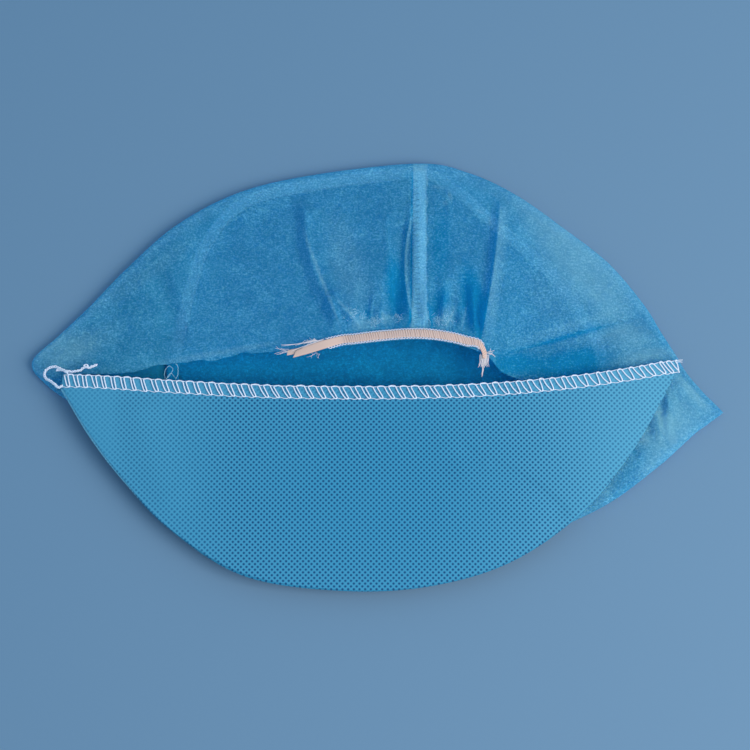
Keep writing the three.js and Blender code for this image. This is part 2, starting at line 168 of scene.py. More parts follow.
# A fold lies along a line in plan. Its height is in mm, and a valley's is negative. Left and right say
# how far its slopes reach, as seen with the line running down the plan. The first seven are the
# pressed folds, the rest finer creases. Each row: from x, y, to x, y, bow, height, left, right.
BACK_FOLDS = {
    "left_crease": (-95.7, 49.3, -82, 3, 3, -1.6, 9, 5),
    "curved_fold": (-30.4, 67.2, -14.5, 18, -4, 2.4, 5, 12),
    "short_fold": (-17.4, 29.4, -7.7, 17.1, -1, 1.6, 5, 7),
    "seam_valley": (10.8, 60, 9.5, 22, 0, -2.2, 8, 6),
    "right_valley": (36, 35, 35, 15, 0, -2.4, 8, 7),
    "right_fold": (52.6, 71.8, 44, 14, 1, 2.8, 4, 18),
    "right_crease": (57.7, 5.4, 116.0, 24.0, 1, -1.4, 10, 9),
    "right_nip": (54, 6, 112, 23.6, 1, -0.5, 1.2, 1.6),
    "curved_crest": (-30.4, 67.2, -14.5, 18, -4, 0.7, 1.2, 2.6),
    "short_crest": (-17.4, 29.4, -7.7, 17.1, -1, 0.8, 1.2, 2.2),
    "seam_pleat": (14.6, 66, 15.2, 18, -3.0, 0.9, 2.4, 1.4),
    "seam_slit": (15.0, 90, 14.4, 16, 0.3, -0.4, 0.8, 0.8),
    "seam_strip": (18.3, 90, 17.4, 15, 0, 0.6, 3.8, 3.8),
    "right_crest": (52.6, 71.8, 43.4, 12, 1, 0.9, 1.2, 5.0),
    "far_pleat": (4.5, 60, 6.5, 20, 0.5, 0.5, 3.0, 1.5),
    "rim_pleat_1": (-2.0, 27, -4.4, 17, 0.4, 0.6, 1.2, 1.6),
    "rim_pleat_2": (29.0, 30, 27.5, 18, -0.6, 0.5, 1.6, 1.3),
    "rim_pleat_3": (36.0, 24, 34.6, 15, 0.5, 0.6, 1.1, 1.5),
    "panel_ruck": (26, 78, 31, 70, 1.5, 0.7, 2.0, 2.5),
    "tip_crease": (-118, 16, -104, 4, 1, -0.7, 3, 3),
}
FRONT_FOLDS = {
    "corner_hollow": (115.0, -8, 118.6, -18, 0.5, -1.4, 4.0, 3.4),
    "corner_ridge": (121.0, -14, 121.5, -30, -1, 0.9, 2.4, 4.0),
    "corner_rim": (116.0, -20, 117, -32, 0.5, 0.6, 2.6, 2.2),
    "corner_crease": (109.5, -17, 113.0, -26, 0.4, -1.4, 3.0, 2.2),
    "low_ridge": (108.5, -27, 114.5, -33, 0, 0.8, 2.4, 2.0),
    "low_crease": (103.0, -30, 107.5, -36, 0, -0.8, 2.0, 1.6),
    "low_swell": (116, -30, 124, -33, 0, 0.6, 3.0, 3.0),
    "edge_swell": (126, -8, 136, -22, 0, 0.7, 4.0, 5.0),
}
FOLD_END_FADE = 0.25
BACK_FOLDS_START = 5.0
BACK_FOLDS_FULL = 15.0
FRONT_FOLDS_START = 2.0
FRONT_FOLDS_FULL = 6.0

# Oval patches that make the cloth paler or deeper. Some follow the layering: paler where the cloth is
# pressed on another layer or doubled. Many are painted light: painted shade in hollows, creases, gathers
# and beside the peak, painted highlights on ridges and crease lines, and a painted sheen on the right side,
# which faces the lamp.
# Each row is an oval patch: middle x, y, half lengths along and across, angle from +X, and strength.
CLOTH_LAYERS_AND_PAINTED_LIGHT = {
    # right_outer is paler from doubled cloth and from a painted sheen where the side faces the lamp.
    "right_outer": (86, 46, 56, 17, -52, 0.58),
    "beside_strip": (27, 52, 26, 7, 86, -0.18),
    "right_below": (104, 12, 18, 9, 10, 0.34),
    "over_seam_right": (112, 6, 24, 4, 12, 0.30),
    # right_rim and right_sewn are painted shade of the hollow under the cloth; right_stitched is painted
    # light that lifts the shade beside the stitches.
    "right_rim": (57, 2, 15, 8, 14, -0.30),
    "right_sewn": (82, 2, 28, 13, 12, -0.34),
    "right_stitched": (113, 4, 17, 5, 12, 0.20),
    "right_inner": (74, 31, 22, 12, -50, 0.14),
    "left_flank": (-116, 14, 16, 9, 30, 0.14),
    # beside_peak is a painted shadow of the peak's edge on the cloth.
    "beside_peak": (105, -42, 24, 7, 61, -0.35),
    # right_nip is painted shade in a crease; under_nip and above_nip are painted highlights beside it.
    "right_nip": (84, 15.6, 38, 1.5, 16, -0.34),
    "under_nip": (90, 13.0, 30, 4, 16, 0.16),
    "above_nip": (80, 18.5, 30, 3, 18, 0.18),
    "right_corner": (124, -14, 34, 30, -40, 0.34),
    "right_front": (108, -34, 40, 16, 38, 0.45),
    "left_tip": (-131, 8, 20, 13, 20, 0.50),
    "left_outline": (-100, 40, 40, 6, 38, 0.15),
    "curved_side": (-12, 44, 34, 11, 105, 0.22),
    # curved_line and short_line are painted highlights along the crests of two folds.
    "curved_line": (-23.2, 38, 32, 1.0, 110, 0.60),
    "short_line": (-12.4, 23, 10, 1.0, 128, 0.60),
    # The hollows below are painted shade.
    "seam_hollow": (8.2, 34, 22, 6.4, 94, -0.36),
    "right_hollow": (41.0, 27, 24, 7.5, 100, -0.42),
    "seam_right_hollow": (26.5, 27, 12, 5.0, 72, -0.28),
    # The gathers by the elastic: painted shade in their valleys and painted highlights on their crests.
    "gather_dark_1": (-3.4, 22, 8, 2.0, 98, -0.24),
    "gather_dark_2": (1.2, 20, 6, 1.0, 80, -0.25),
    "gather_dark_3": (33.4, 22, 9, 2.6, 72, -0.20),
    "gather_pale_1": (-9.5, 21, 9, 0.8, 118, 0.40),
    "gather_pale_2": (-1.2, 18, 5, 0.7, 66, 0.35),
    "gather_pale_3": (3.4, 19, 6, 0.7, 104, 0.32),
    "gather_pale_4": (31.0, 21, 8, 0.7, 66, 0.36),
    "gather_pale_5": (36.6, 21, 9, 0.7, 78, 0.36),
    "back_swirl_1": (26.4, 80.6, 5.0, 1.4, -18, 0.34),
    "back_swirl_2": (31.4, 76.6, 3.4, 1.4, -72, 0.40),
    "back_swirl_3": (29.6, 73.4, 2.4, 1.2, 25, 0.36),
    "back_scallop_1": (44.4, 69.4, 3.4, 1.3, -20, 0.28),
    "back_scallop_2": (48.6, 65.0, 3.2, 1.4, -60, 0.28),
    "rim_fuzz_1": (-5, 17, 9, 4, 10, 0.45),
    "rim_fuzz_2": (4, 20, 3.5, 6, 70, 0.30),
    "rim_fuzz_3": (29, 20, 8, 6, 60, 0.35),
    "left_rim": (-66, 6.5, 40, 2.0, 9, 0.30),
    # At the right corner: painted shade in the creases and painted highlights on the ridges between them.
    "corner_dark": (119.6, -14.4, 7.0, 3.8, -60, -0.22),
    "corner_crease": (113.2, -23.2, 7.5, 4.2, -60, -0.30),
    "low_crease": (105.0, -33.2, 5.0, 2.0, -54, -0.42),
    "corner_light": (121.0, -25, 9, 3.0, -74, 0.40),
    "corner_edge": (131.5, -10, 15, 3.2, -48, 0.35),
    "low_light": (110.5, -30, 5, 2.4, -52, 0.30),
}
# A doubled layer that ends at a fold is seen through the cloth as a crisp line, paler on its doubled side.
# The darker side is painted shade of the fold or valley beside the line.
# Each row: from x, y, to x, y, bow, then a strength and its reach to the left, and both to the right.
EDGE_LINES_AND_PAINTED_SHADE = {
    "right_fold": (52.6, 71.8, 43.4, 11, 1, -0.14, 3, 0.40, 6.5),
    "strip_side": (16.0, 89, 14.6, 16, 0, -0.48, 1.3, 0.16, 1.6),
    "seam_pleat": (14.6, 66, 15.2, 19, -3.0, -0.16, 3, 0.50, 1.9),
    "corner_pleat": (115.6, -18.5, 121.6, -32.0, -0.8, -0.20, 2.0, 0.34, 5),
    "seam_flare": (15.4, 24, 11.4, 12, 0.8, -0.25, 2, 0.42, 2.6),
    "seam_flare_right": (20.6, 26, 22.0, 13, 0.6, 0.36, 2.2, -0.22, 3),
}
STRIP_LINE = (18.9, 91.0, 17.7, 14.0)
STRIP_HALF = 3.1
STRIP_PALENESS = 0.50
STRIP_SCALLOP = 0.35
STRIP_SCALLOP_LENGTH = 9.0
STRIP_SOFTNESS = 0.6
STRIP_START = 12
STRIP_FADE = 3
EDGE_SOFTNESS = 0.7
EDGE_END_FADE = 1 / 8
PATCH_SOFT_SHARE = 0.8
OUTLINE_PALENESS = 0.20
CORNER_OUTLINE_DULLED = 0.7
# The band's rows on the floor inside the crown take the deepest colour and thickest alpha, a painted shade
# of the crown's inside.
INSIDE_PAINTED_SHADE = -1.0
# Both waves run along the rim from a first station to a last and fade over one part in "fade" of that.
# They start, are full, begin to die and end at these distances from the rim.
GATHERS = {
    "first": -1.25, "last": 1.2, "count": 9, "fade": 9, "height": 0.9,
    "start": 6.0, "full": 12.0, "dying": 12.0, "end": 34.0,
}
PUCKERS = {
    "first": -1.0, "last": 1.0, "count": 23, "fade": 6, "height": 0.30,
    "start": 0.0, "full": 3.0, "dying": 4.0, "end": 13.0,
}
# Where the rim's left half dips in or stands out: x, half the length, and how far back.
RIM_NICKS = (
    (-68, 5.5, -1.1), (-55.5, 4.5, 1.2), (-92, 5, 0.7), (-79, 3, -0.5), (-43, 3, -0.3), (-101, 2.5, -0.4),
)
RIM_NICKS_END = list(BAND_ROWS).index("left_end")
UNEVEN_WAVES = 14
UNEVEN_START = 12.0
CLOTH_THICK = 0.22
BAND_FINENESS = 4
CREASED_FINENESS = 8
# The rows where the fine creases lie, so that the columns stand closer there.
CREASED_ROWS = (
    "back_right_3", "elastic_right", "centre_back", "elastic_left", "front_right_1", "front_right_2",
    "front_right_3", "right_corner", "right_edge",
)
FLOOR_ROWS = 5
FOLD_ROWS = 8
TOP_ROWS = 70

BAND_BLUE_DEEP = (0.005, 0.415, 0.690, 1.0)
BAND_BLUE_PALE = (0.330, 0.775, 0.855, 1.0)
BAND_GLOW = (0.00, 0.525, 0.900, 1.0)
BAND_GLOW_SHARE = 0.34
BAND_ALPHAS = (0.28, 0.44)
FIBRE_DIRECTIONS = (0.5, 1.5, 2.6)
FIBRE_STRETCH = (1.0, 3.5, 1.0)
FIBRE_MASSES = (1.13, 1.62)
# How bright thin and thick cloth are where the stored paleness is low, as where it stands loose, and where
# it is high, as where it is pressed close or carries a painted highlight.
LOOSE_BRIGHTNESS = (0.80, 1.48)
PRESSED_BRIGHTNESS = (1.00, 1.12)
LOOSE_TO_PRESSED = (0.2, 0.7)
CLOTH_BUMP = 0.12


def columns(names, rows):
    """The table as one array for each named column."""
    return dict(zip(names, np.array(list(rows.values()), dtype=float).T))


def smooth(value):
    """Rises from 0 at 0 to 1 at 1 along 3t^2 - 2t^3, and is level outside."""
    t = np.clip(value, 0.0, 1.0)
    return t * t * (3 - 2 * t)


def unit(vectors):
    """Each vector divided by its own length."""
    return vectors / np.maximum(np.linalg.norm(vectors, axis=-1, keepdims=True), 1e-9)


def curve_through(points, at, closed):
    """Catmull-Rom curve: between two points it is the cubic whose slope at each of them is half the step
    between that point's neighbours. An open curve's first and last steps are repeated past its ends."""
    count = len(points)
    if closed:
        start = np.floor(at).astype(int)
        four = [points[(start + shift) % count] for shift in (-1, 0, 1, 2)]
    else:
        start = np.clip(np.floor(at).astype(int), 0, count - 2)
        ends = np.vstack([2 * points[0] - points[1], points, 2 * points[-1] - points[-2]])
        four = [ends[start + shift + 1] for shift in (-1, 0, 1, 2)]
    t = (at - start)[:, None]
    before, here, after, beyond = four
    slope_here, slope_after = (after - before) / 2, (beyond - here) / 2
    return (
        here * (2 * t**3 - 3 * t**2 + 1)
        + slope_here * (t**3 - 2 * t**2 + t)
        + after * (3 * t**2 - 2 * t**3)
        + slope_after * (t**3 - t**2)
    )


band = columns(BAND_COLUMNS, BAND_ROWS)
band_count = len(BAND_ROWS)


def band_curve(stations, *names):
    """The closed curve through the named columns of the band's table."""
    return curve_through(np.stack([band[name] for name in names], 1), np.asarray(stations, float), True)


def outward_at(stations, x_name, y_name):
    """Level unit vectors square to a closed outline and pointing out of it: the step between the points
    a little before and after each station, given a quarter turn."""
    before = band_curve(stations - OUTLINE_REACH, x_name, y_name)
    ahead = band_curve(stations + OUTLINE_REACH, x_name, y_name) - before
    return unit(np.stack([ahead[:, 1], -ahead[:, 0], np.zeros(len(ahead))], 1))


def seam_on_floor(stations):
    """The line where band and panel are sewn together, at height 0."""
    return np.pad(band_curve(stations, "seam_x", "seam_y"), ((0, 0), (0, 1)))


def beside_line(from_x, from_y, to_x, to_y, bow, x, y):
    """Share of the way along a line in plan, and the distance from it once it is bowed by a parabola,
    counted to the right for a line that runs down the plan."""
    along_x, along_y = to_x - from_x, to_y - from_y
    length = math.hypot(along_x, along_y)
    share = ((x - from_x) * along_x + (y - from_y) * along_y) / length**2
    side = ((x - from_x) * -along_y + (y - from_y) * along_x) / length
    held = np.clip(share, 0, 1)
    return share, side - bow * 4 * held * (1 - held)


def fold_heights(folds, x, y):
    """Sum of the folds: each is a smooth bump across its bowed line that dies away past its ends."""
    total = np.zeros_like(x)
    for from_x, from_y, to_x, to_y, bow, height, left, right in folds.values():
        share, offset = beside_line(from_x, from_y, to_x, to_y, bow, x, y)
        across = smooth(1 - np.abs(offset) / np.where(offset < 0, left, right))
        ends = smooth(1 + share / FOLD_END_FADE) * smooth(1 + (1 - share) / FOLD_END_FADE)
        total += height * across * ends
    return total


def paleness(patches, x, y):
    """Sum of the oval patches, each full at its middle and falling smoothly to nothing over the outer
    share of its radius."""
    total = np.zeros_like(x)
    for middle_x, middle_y, along, across, angle, strength in patches.values():
        turn = math.radians(angle)
        side_x, side_y = x - middle_x, y - middle_y
        forward = (side_x * math.cos(turn) + side_y * math.sin(turn)) / along
        aside = (side_y * math.cos(turn) - side_x * math.sin(turn)) / across
        total += strength * smooth((1 - np.hypot(forward, aside)) / PATCH_SOFT_SHARE)
    return total


def edges_seen(edges, x, y):
    """Sum of the crisp lines: each side's strength is full at the line and falls smoothly to nothing at
    its reach."""
    total = np.zeros_like(x)
    for from_x, from_y, to_x, to_y, bow, left, left_reach, right, right_reach in edges.values():
        share, offset = beside_line(from_x, from_y, to_x, to_y, bow, x, y)
        ends = smooth(share / EDGE_END_FADE + 0.5) * smooth((1 - share) / EDGE_END_FADE + 0.5)
        rightward = smooth(offset / EDGE_SOFTNESS + 0.5)
        total += ends * left * (1 - rightward) * smooth(1 + offset / left_reach)
        total += ends * right * rightward * smooth(1 - offset / right_reach)
    return total


def strip_paleness(x, y):
    """Full where the back seam's allowance lies against the cloth, with sharp sides, the right one
    scalloped by a sine wave. It fades out at the rim."""
    top_x, top_y, low_x, low_y = STRIP_LINE
    offset = x - (low_x + (top_x - low_x) * (y - low_y) / (top_y - low_y))
    half = STRIP_HALF + STRIP_SCALLOP * np.sin(y * math.tau / STRIP_SCALLOP_LENGTH) * (offset > 0)
    sides = smooth((half - np.abs(offset)) / STRIP_SOFTNESS + 0.5)
    return STRIP_PALENESS * sides * smooth((y - STRIP_START) / STRIP_FADE)


def unevenness(x, y, seed, longest, shortest, height):
    """Sum of plane waves, as of cloth that never lies quite flat. Their lengths go from the longest to
    the shortest in equal ratios, each is high in proportion to its length, and their directions and
    phases are seeded."""
    wave = np.random.default_rng(seed)
    total = np.zeros_like(x)
    for length in np.geomspace(longest, shortest, UNEVEN_WAVES):
        angle, phase = wave.uniform(0, math.tau, 2)
        total += np.sin((x * math.cos(angle) + y * math.sin(angle)) * math.tau / length + phase) * length
    return total * height / longest / 2.5


def rim_wave(stations, distance, wave):
    """Share of the way along a wave's run, and its height there, which fades at both ends of the run,
    rises smoothly with the distance from the rim and dies again."""
    turned = np.where(stations < band_count / 2, stations, stations - band_count)[:, None]
    share = (turned - wave["first"]) / (wave["last"] - wave["first"])
    ends = smooth(share * wave["fade"]) * smooth((1 - share) * wave["fade"])
    rising = smooth((distance - wave["start"]) / (wave["full"] - wave["start"]))
    dying = smooth((wave["end"] - distance) / (wave["end"] - wave["dying"]))
    return share, wave["height"] * rising * dying * ends


def band_relief(stations, rim, x, y):
    """Height added to the band's top, mm, as a sum: the folds behind and before the rim; the gathers, a
    sine wave along the elastic; the puckers, a quicker sine wave close to the rim whose pitch and
    strength wander; and the cloth's unevenness, which rises from the rim."""
    behind = y - rim[:, 1:2]
    distance = np.hypot(x - rim[:, :1], behind)
    back = smooth((behind - BACK_FOLDS_START) / (BACK_FOLDS_FULL - BACK_FOLDS_START))
    front = smooth((-behind - FRONT_FOLDS_START) / (FRONT_FOLDS_FULL - FRONT_FOLDS_START))
    relief = back * fold_heights(BACK_FOLDS, x, y) + front * fold_heights(FRONT_FOLDS, x, y)
    share, height = rim_wave(stations, distance, GATHERS)
    relief += height * np.sin(share * GATHERS["count"] * math.tau)
    share, height = rim_wave(stations, distance, PUCKERS)
    wander = share + 0.014 * np.sin(share * 41) + 0.010 * np.sin(share * 67 + 1)
    strong = 0.5 + 0.5 * np.sin(share * 29 + 0.6)
    relief += height * strong * np.sin(wander * PUCKERS["count"] * math.tau)
    uneven = unevenness(x, y, seed=3, longest=60.0, shortest=14.0, height=0.40)
    uneven += unevenness(x, y, seed=4, longest=9.0, shortest=2.6, height=0.07)
    return relief + smooth(distance / UNEVEN_START) * uneven


def band_grid(stations, floor_rows, fold_rows, top_rows):
    """The band's outer face, mm, as stations by rows. On the floor it runs straight from seam to turn.
    Round the outline it is half a circle of the fold's radius, and the right corner is drawn nearly
    straight-sided. Over the top it is a cubic Bezier from the turn to the rim, with the relief added
    to its height."""
    rim = band_curve(stations, "rim_x", "rim_y", "rim_z")
    for nick_x, nick_half, nick_rise in RIM_NICKS:
        nick = smooth(1 - np.abs(rim[:, 0] - nick_x) / nick_half) * (stations < RIM_NICKS_END)
        rim[:, 1] += nick_rise * nick
    fold = band_curve(stations, "fold_x", "fold_y", "radius")
    at = stations % band_count
    row_numbers = np.arange(band_count + 1)
    corners = [np.append(band[name], band[name][0]) for name in ("fold_x", "fold_y")]
    straight = np.stack([np.interp(at, row_numbers, corner) for corner in corners], 1)
    # full within half a station of the corner, and gone one and a quarter away
    crisp = smooth(1.6 - 1.3 * np.abs(at - SHARP_CORNER))[:, None] * SHARPNESS
    fold[:, :2] = fold[:, :2] * (1 - crisp) + straight * crisp
    rise = band_curve(stations, "rise_fold", "rise_rim")
    seam = seam_on_floor(stations)
    radius = fold[:, 2:]
    outward = outward_at(stations, "fold_x", "fold_y")
    turn = np.hstack([fold[:, :2], np.zeros_like(radius)]) - radius * outward
    up = np.array([0.0, 0.0, 1.0])

    share = (np.arange(floor_rows) / floor_rows)[None, :, None]
    floor = seam[:, None] * (1 - share) + turn[:, None] * share

    angle = (math.pi * (np.arange(fold_rows) / fold_rows - 0.5))[None, :, None]
    bend = turn[:, None] + radius[:, None] * (
        np.cos(angle) * outward[:, None] + (1 + np.sin(angle)) * up
    )

    top = turn + 2 * radius * up
    near_fold = top + (rim - top) * CONTROL_NEAR_FOLD
    near_fold[:, 2] = top[:, 2] + rise[:, 0]
    near_rim = rim + (top - rim) * CONTROL_NEAR_RIM
    near_rim[:, 2] = rim[:, 2] + rise[:, 1]
    share = (1 - (1 - np.arange(top_rows + 1) / top_rows) ** TOP_CROWDING)[None, :, None]
    over = (
        top[:, None] * (1 - share) ** 3
        + near_fold[:, None] * 3 * share * (1 - share) ** 2
        + near_rim[:, None] * 3 * share**2 * (1 - share)
        + rim[:, None] * share**3
    )
    fade = smooth(share[..., 0] / RELIEF_FADE)
    over[..., 2] += fade * band_relief(stations, rim, over[..., 0], over[..., 1])
    return np.concatenate([floor, bend, over], 1)


def spread_stations(fineness):
    """Station numbers all round: between two of them, the table's steps times their fineness."""
    parts = (band["steps"] * fineness).astype(int)
    return np.concatenate([np.arange(part) / part + i for i, part in enumerate(parts)])


def grid_faces(count, rows, loop):
    """Quads of a grid whose point (c, r) has the number c * rows + r. With loop the last column joins
    the first."""
    c, r = np.meshgrid(np.arange(count if loop else count - 1), np.arange(rows - 1), indexing="ij")
    c, r, after = c.ravel(), r.ravel(), (c.ravel() + 1) % count
    return np.stack([c * rows + r, after * rows + r, after * rows + r + 1, c * rows + r + 1], 1)


def new_piece(name, points, faces, material):
    """A smooth-shaded mesh object with these points, given in mm, at the origin."""
    places = (np.asarray(points).reshape(-1, 3) * MM).tolist()
    mesh = bpy.data.meshes.new(name)
    mesh.from_pydata(places, [], faces if isinstance(faces, list) else faces.tolist())
    mesh.validate()
    mesh.polygons.foreach_set("use_smooth", np.ones(len(mesh.polygons), dtype=bool))
    mesh.materials.append(material)
    piece = bpy.data.objects.new(name, mesh)
    bpy.context.scene.collection.objects.link(piece)
    return piece


def thicken(piece, thickness):
    """A Solidify modifier that gives the sheet its thickness inwards from the face that was made."""
    wall = piece.modifiers.new("ply", "SOLIDIFY")
    wall.thickness = thickness * MM
    wall.offset = -1.0


def set_values(piece, name, values):
    """Store one number a point on the piece's mesh, for its material to read."""
    layer = piece.data.attributes.new(name, "FLOAT", "POINT")
    layer.data.foreach_set("value", np.ascontiguousarray(values, dtype=np.float32).ravel())


def group_of(name, inputs, outputs):
    """A new shader node group with (type, name, default) inputs and (type, name) outputs."""
    group = bpy.data.node_groups.new(name, "ShaderNodeTree")
    for kind, label, value in inputs:
        socket = group.interface.new_socket(label, in_out="INPUT", socket_type=kind)
        socket.default_value = value
    for kind, label in outputs:
        group.interface.new_socket(label, in_out="OUTPUT", socket_type=kind)
    return group, group.nodes.new("NodeGroupInput"), group.nodes.new("NodeGroupOutput")


def add_node(tree, kind, inputs=None, **settings):
    """A new node of this kind with these properties and inputs."""
    node = tree.nodes.new(kind)
    for key, value in settings.items():
        setattr(node, key, value)
    fill(tree, node, inputs or {})
    return node


def maths(tree, operation, *values):
    """The result of this operation on numbers or other nodes' outputs."""
    return add_node(tree, "ShaderNodeMath", dict(enumerate(values)), operation=operation).outputs[0]


def noise(tree, place, scale, detail, roughness):
    """Fractal noise from 0 to 1, with this many features to the metre."""
    inputs = {"Vector": place, "Scale": scale, "Detail": detail, "Roughness": roughness}
    return add_node(tree, "ShaderNodeTexNoise", inputs).outputs["Fac"]


def mapped(tree, value, from_low, from_high, to_low=0.0, to_high=1.0, **settings):
    """The value carried from one span to the other, and held inside it."""
    spans = {"From Min": from_low, "From Max": from_high, "To Min": to_low, "To Max": to_high}
    return add_node(tree, "ShaderNodeMapRange", {"Value": value, **spans}, **settings).outputs["Result"]


def mixed(tree, share, first, second):
    """The first colour where the share is 0, the second where it is 1."""
    inputs = {"Factor": share, "A": first, "B": second}
    return add_node(tree, "ShaderNodeMix", inputs, data_type="RGBA").outputs["Result"]


def stored(tree, name):
    """The number stored under this name at each point of the piece."""
    return add_node(tree, "ShaderNodeAttribute", attribute_name=name).outputs["Fac"]


def fibre_group():
    """Random-laid fibres. The density, from 0 to 1, adds three parts: the greatest of three noises drawn
    out in three directions, a fine cloudy noise, and broad patches. Density and the stored paleness, which
    holds both the paleness of close layers and painted shade and highlights, together mix the colour from
    deep to pale. Density also brightens it, less so where the paleness is high, and sets the height and
    the alpha, which is at its thickest wherever the paleness is -1."""
    group, inside, outside = group_of(
        "laid_fibres",
        [
            ("NodeSocketColor", "Deep", (0, 0, 0, 1)),
            ("NodeSocketColor", "Pale", (1, 1, 1, 1)),
            ("NodeSocketFloat", "Layering And Painted Light", 0.0),
            ("NodeSocketFloat", "Thin Alpha", 0.7),
            ("NodeSocketFloat", "Thick Alpha", 0.95),
        ],
        [("NodeSocketColor", "Color"), ("NodeSocketFloat", "Alpha"), ("NodeSocketFloat", "Height")],
    )
    layering_and_painted_light = inside.outputs["Layering And Painted Light"]
    place = add_node(group, "ShaderNodeTexCoord").outputs["Object"]
    streaks = []
    for turn in FIBRE_DIRECTIONS:
        drawn_out = {"Vector": place, "Rotation": (0, 0, turn), "Scale": FIBRE_STRETCH}
        lay = add_node(group, "ShaderNodeMapping", drawn_out)
        streaks.append(noise(group, lay.outputs["Vector"], scale=560.0, detail=3.0, roughness=0.7))
    fibres = maths(group, "MAXIMUM", maths(group, "MAXIMUM", streaks[0], streaks[1]), streaks[2])
    cloud = noise(group, place, scale=1250.0, detail=2.0, roughness=0.7)
    patch = noise(group, place, scale=110.0, detail=3.0, roughness=0.55)
    mass = maths(group, "MULTIPLY_ADD", patch, 0.3, maths(group, "MULTIPLY_ADD", cloud, 1.1, fibres))
    density = mapped(group, mass, *FIBRE_MASSES)
    pale_share = maths(group, "ADD", maths(group, "MULTIPLY_ADD", density, 0.40, 0.17), layering_and_painted_light)
    colour = mixed(group, pale_share, inside.outputs["Deep"], inside.outputs["Pale"])
    thin_and_thick = [
        mapped(group, layering_and_painted_light, *LOOSE_TO_PRESSED, loose, pressed)
        for loose, pressed in zip(LOOSE_BRIGHTNESS, PRESSED_BRIGHTNESS)
    ]
    brightness = mapped(group, density, 0.0, 1.0, *thin_and_thick)
    lit = {"Vector": colour, "Scale": brightness}
    grainy = add_node(group, "ShaderNodeVectorMath", lit, operation="SCALE")
    solid = maths(group, "MAXIMUM", density, mapped(group, layering_and_painted_light, 0.0, -1.0))
    alpha = mapped(group, solid, 0.0, 1.0, inside.outputs["Thin Alpha"], inside.outputs["Thick Alpha"])
    fill(group, outside, {"Color": grainy.outputs[0], "Alpha": alpha, "Height": density})
    return group


LAID_FIBRES = fibre_group()


def nonwoven(name, deep, pale, alphas, bump):
    """Matt nonwoven cloth: the fibre group drives colour, alpha and a fine bump, and a fixed share
    of the light goes through as a soft glow of one colour."""
    material, tree, shader = principled(name, roughness=0.88, specular=0.25)
    drawn = {"Deep": deep, "Pale": pale, "Thin Alpha": alphas[0], "Thick Alpha": alphas[1]}
    drawn["Layering And Painted Light"] = stored(tree, "layering_and_painted_light")
    fibres = add_node(tree, "ShaderNodeGroup", drawn, node_tree=LAID_FIBRES).outputs
    height = {"Height": fibres["Height"], "Distance": bump * MM, "Strength": 0.7}
    relief = add_node(tree, "ShaderNodeBump", height).outputs["Normal"]
    fill(tree, shader, {"Base Color": fibres["Color"], "Alpha": fibres["Alpha"], "Normal": relief})
    glow = add_node(tree, "ShaderNodeBsdfTranslucent", {"Color": BAND_GLOW}).outputs["BSDF"]
    both = {"Fac": BAND_GLOW_SHARE, 1: shader.outputs["BSDF"], 2: glow}
    surface = add_node(tree, "ShaderNodeMixShader", both).outputs["Shader"]
    fill(tree, tree.nodes["Material Output"], {"Surface": surface})
    return material


band_cloth = nonwoven("band_nonwoven", BAND_BLUE_DEEP, BAND_BLUE_PALE, BAND_ALPHAS, CLOTH_BUMP)
creased = np.array([name in CREASED_ROWS for name in BAND_ROWS])
band_stations = spread_stations(np.where(creased, CREASED_FINENESS, BAND_FINENESS))
band_points = band_grid(band_stations, FLOOR_ROWS, FOLD_ROWS, TOP_ROWS)
band_faces = grid_faces(len(band_stations), band_points.shape[1], True)
band_piece = new_piece("crown_side_band", band_points, band_faces, band_cloth)
band_x, band_y = band_points[..., 0], band_points[..., 1]
band_row = np.arange(band_points.shape[1])[None]
# the cloth turns over along the outline, and looks paler there
outline = smooth((band_row - FLOOR_ROWS + 1) / 2) * smooth((FLOOR_ROWS + FOLD_ROWS + 5 - band_row) / 6)
band_pale = paleness(CLOTH_LAYERS_AND_PAINTED_LIGHT, band_x, band_y) + edges_seen(EDGE_LINES_AND_PAINTED_SHADE, band_x, band_y)
band_pale += strip_paleness(band_x, band_y)
band_pale += OUTLINE_PALENESS * outline * (1 - CORNER_OUTLINE_DULLED * smooth((band_x - 112) / 8))
# the floor rows inside the crown carry the painted shade
set_values(band_piece, "layering_and_painted_light", np.where(band_row < FLOOR_ROWS, INSIDE_PAINTED_SHADE, band_pale))
thicken(band_piece, CLOTH_THICK)
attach(band_piece, "root")
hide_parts("side_band")

# ---------------------------------------------------------------- top panel
# The oval that closes the crown, cut from the same thin cloth. It lies face down on the table, and
# its edge is sewn to the band all round.

PANEL_FINENESS = 2
PANEL_SEWN_IN = 0.3
PANEL_RINGS = 26
# Patches that make the panel paler or deeper; the one behind the elastic's right end is a painted shadow of
# the crown and elastic above it.
PANEL_PATCHES = {
    "middle": (0, 4, 26, 6, 0, 0.16),
    "fuzz": (-2, 1, 9, 4, 10, 0.25),
    "right": (24, 0, 14, 4, -10, 0.20),
    "left": (-60, 0, 26, 5, 8, 0.16),
    "painted_shadow_behind_end": (38, 3, 10, 8, -40, -0.45),
    "seam_line": (19, 6, 8, 0.5, 90, -0.35),
}
# The panel's blues are darker copies of the band's, a painted shade of the crown's inside.
PANEL_SHADED_DEEP = (0.000, 0.238, 0.475, 1.0)
PANEL_SHADED_PALE = (0.006, 0.360, 0.610, 1.0)
PANEL_ALPHAS = (0.60, 0.80)


def panel_rings(inset, shares, height):
    """Closed rings inside the seam line, at one height: the seam moved in by the inset, then drawn
    towards its middle by each share."""
    at = spread_stations(np.full(band_count, PANEL_FINENESS))
    edge = seam_on_floor(at) - inset * outward_at(at, "seam_x", "seam_y")
    shares = shares[None, :, None]
    rings = edge[:, None] * shares + edge.mean(0) * (1 - shares)
    rings[..., 2] = height
    return rings


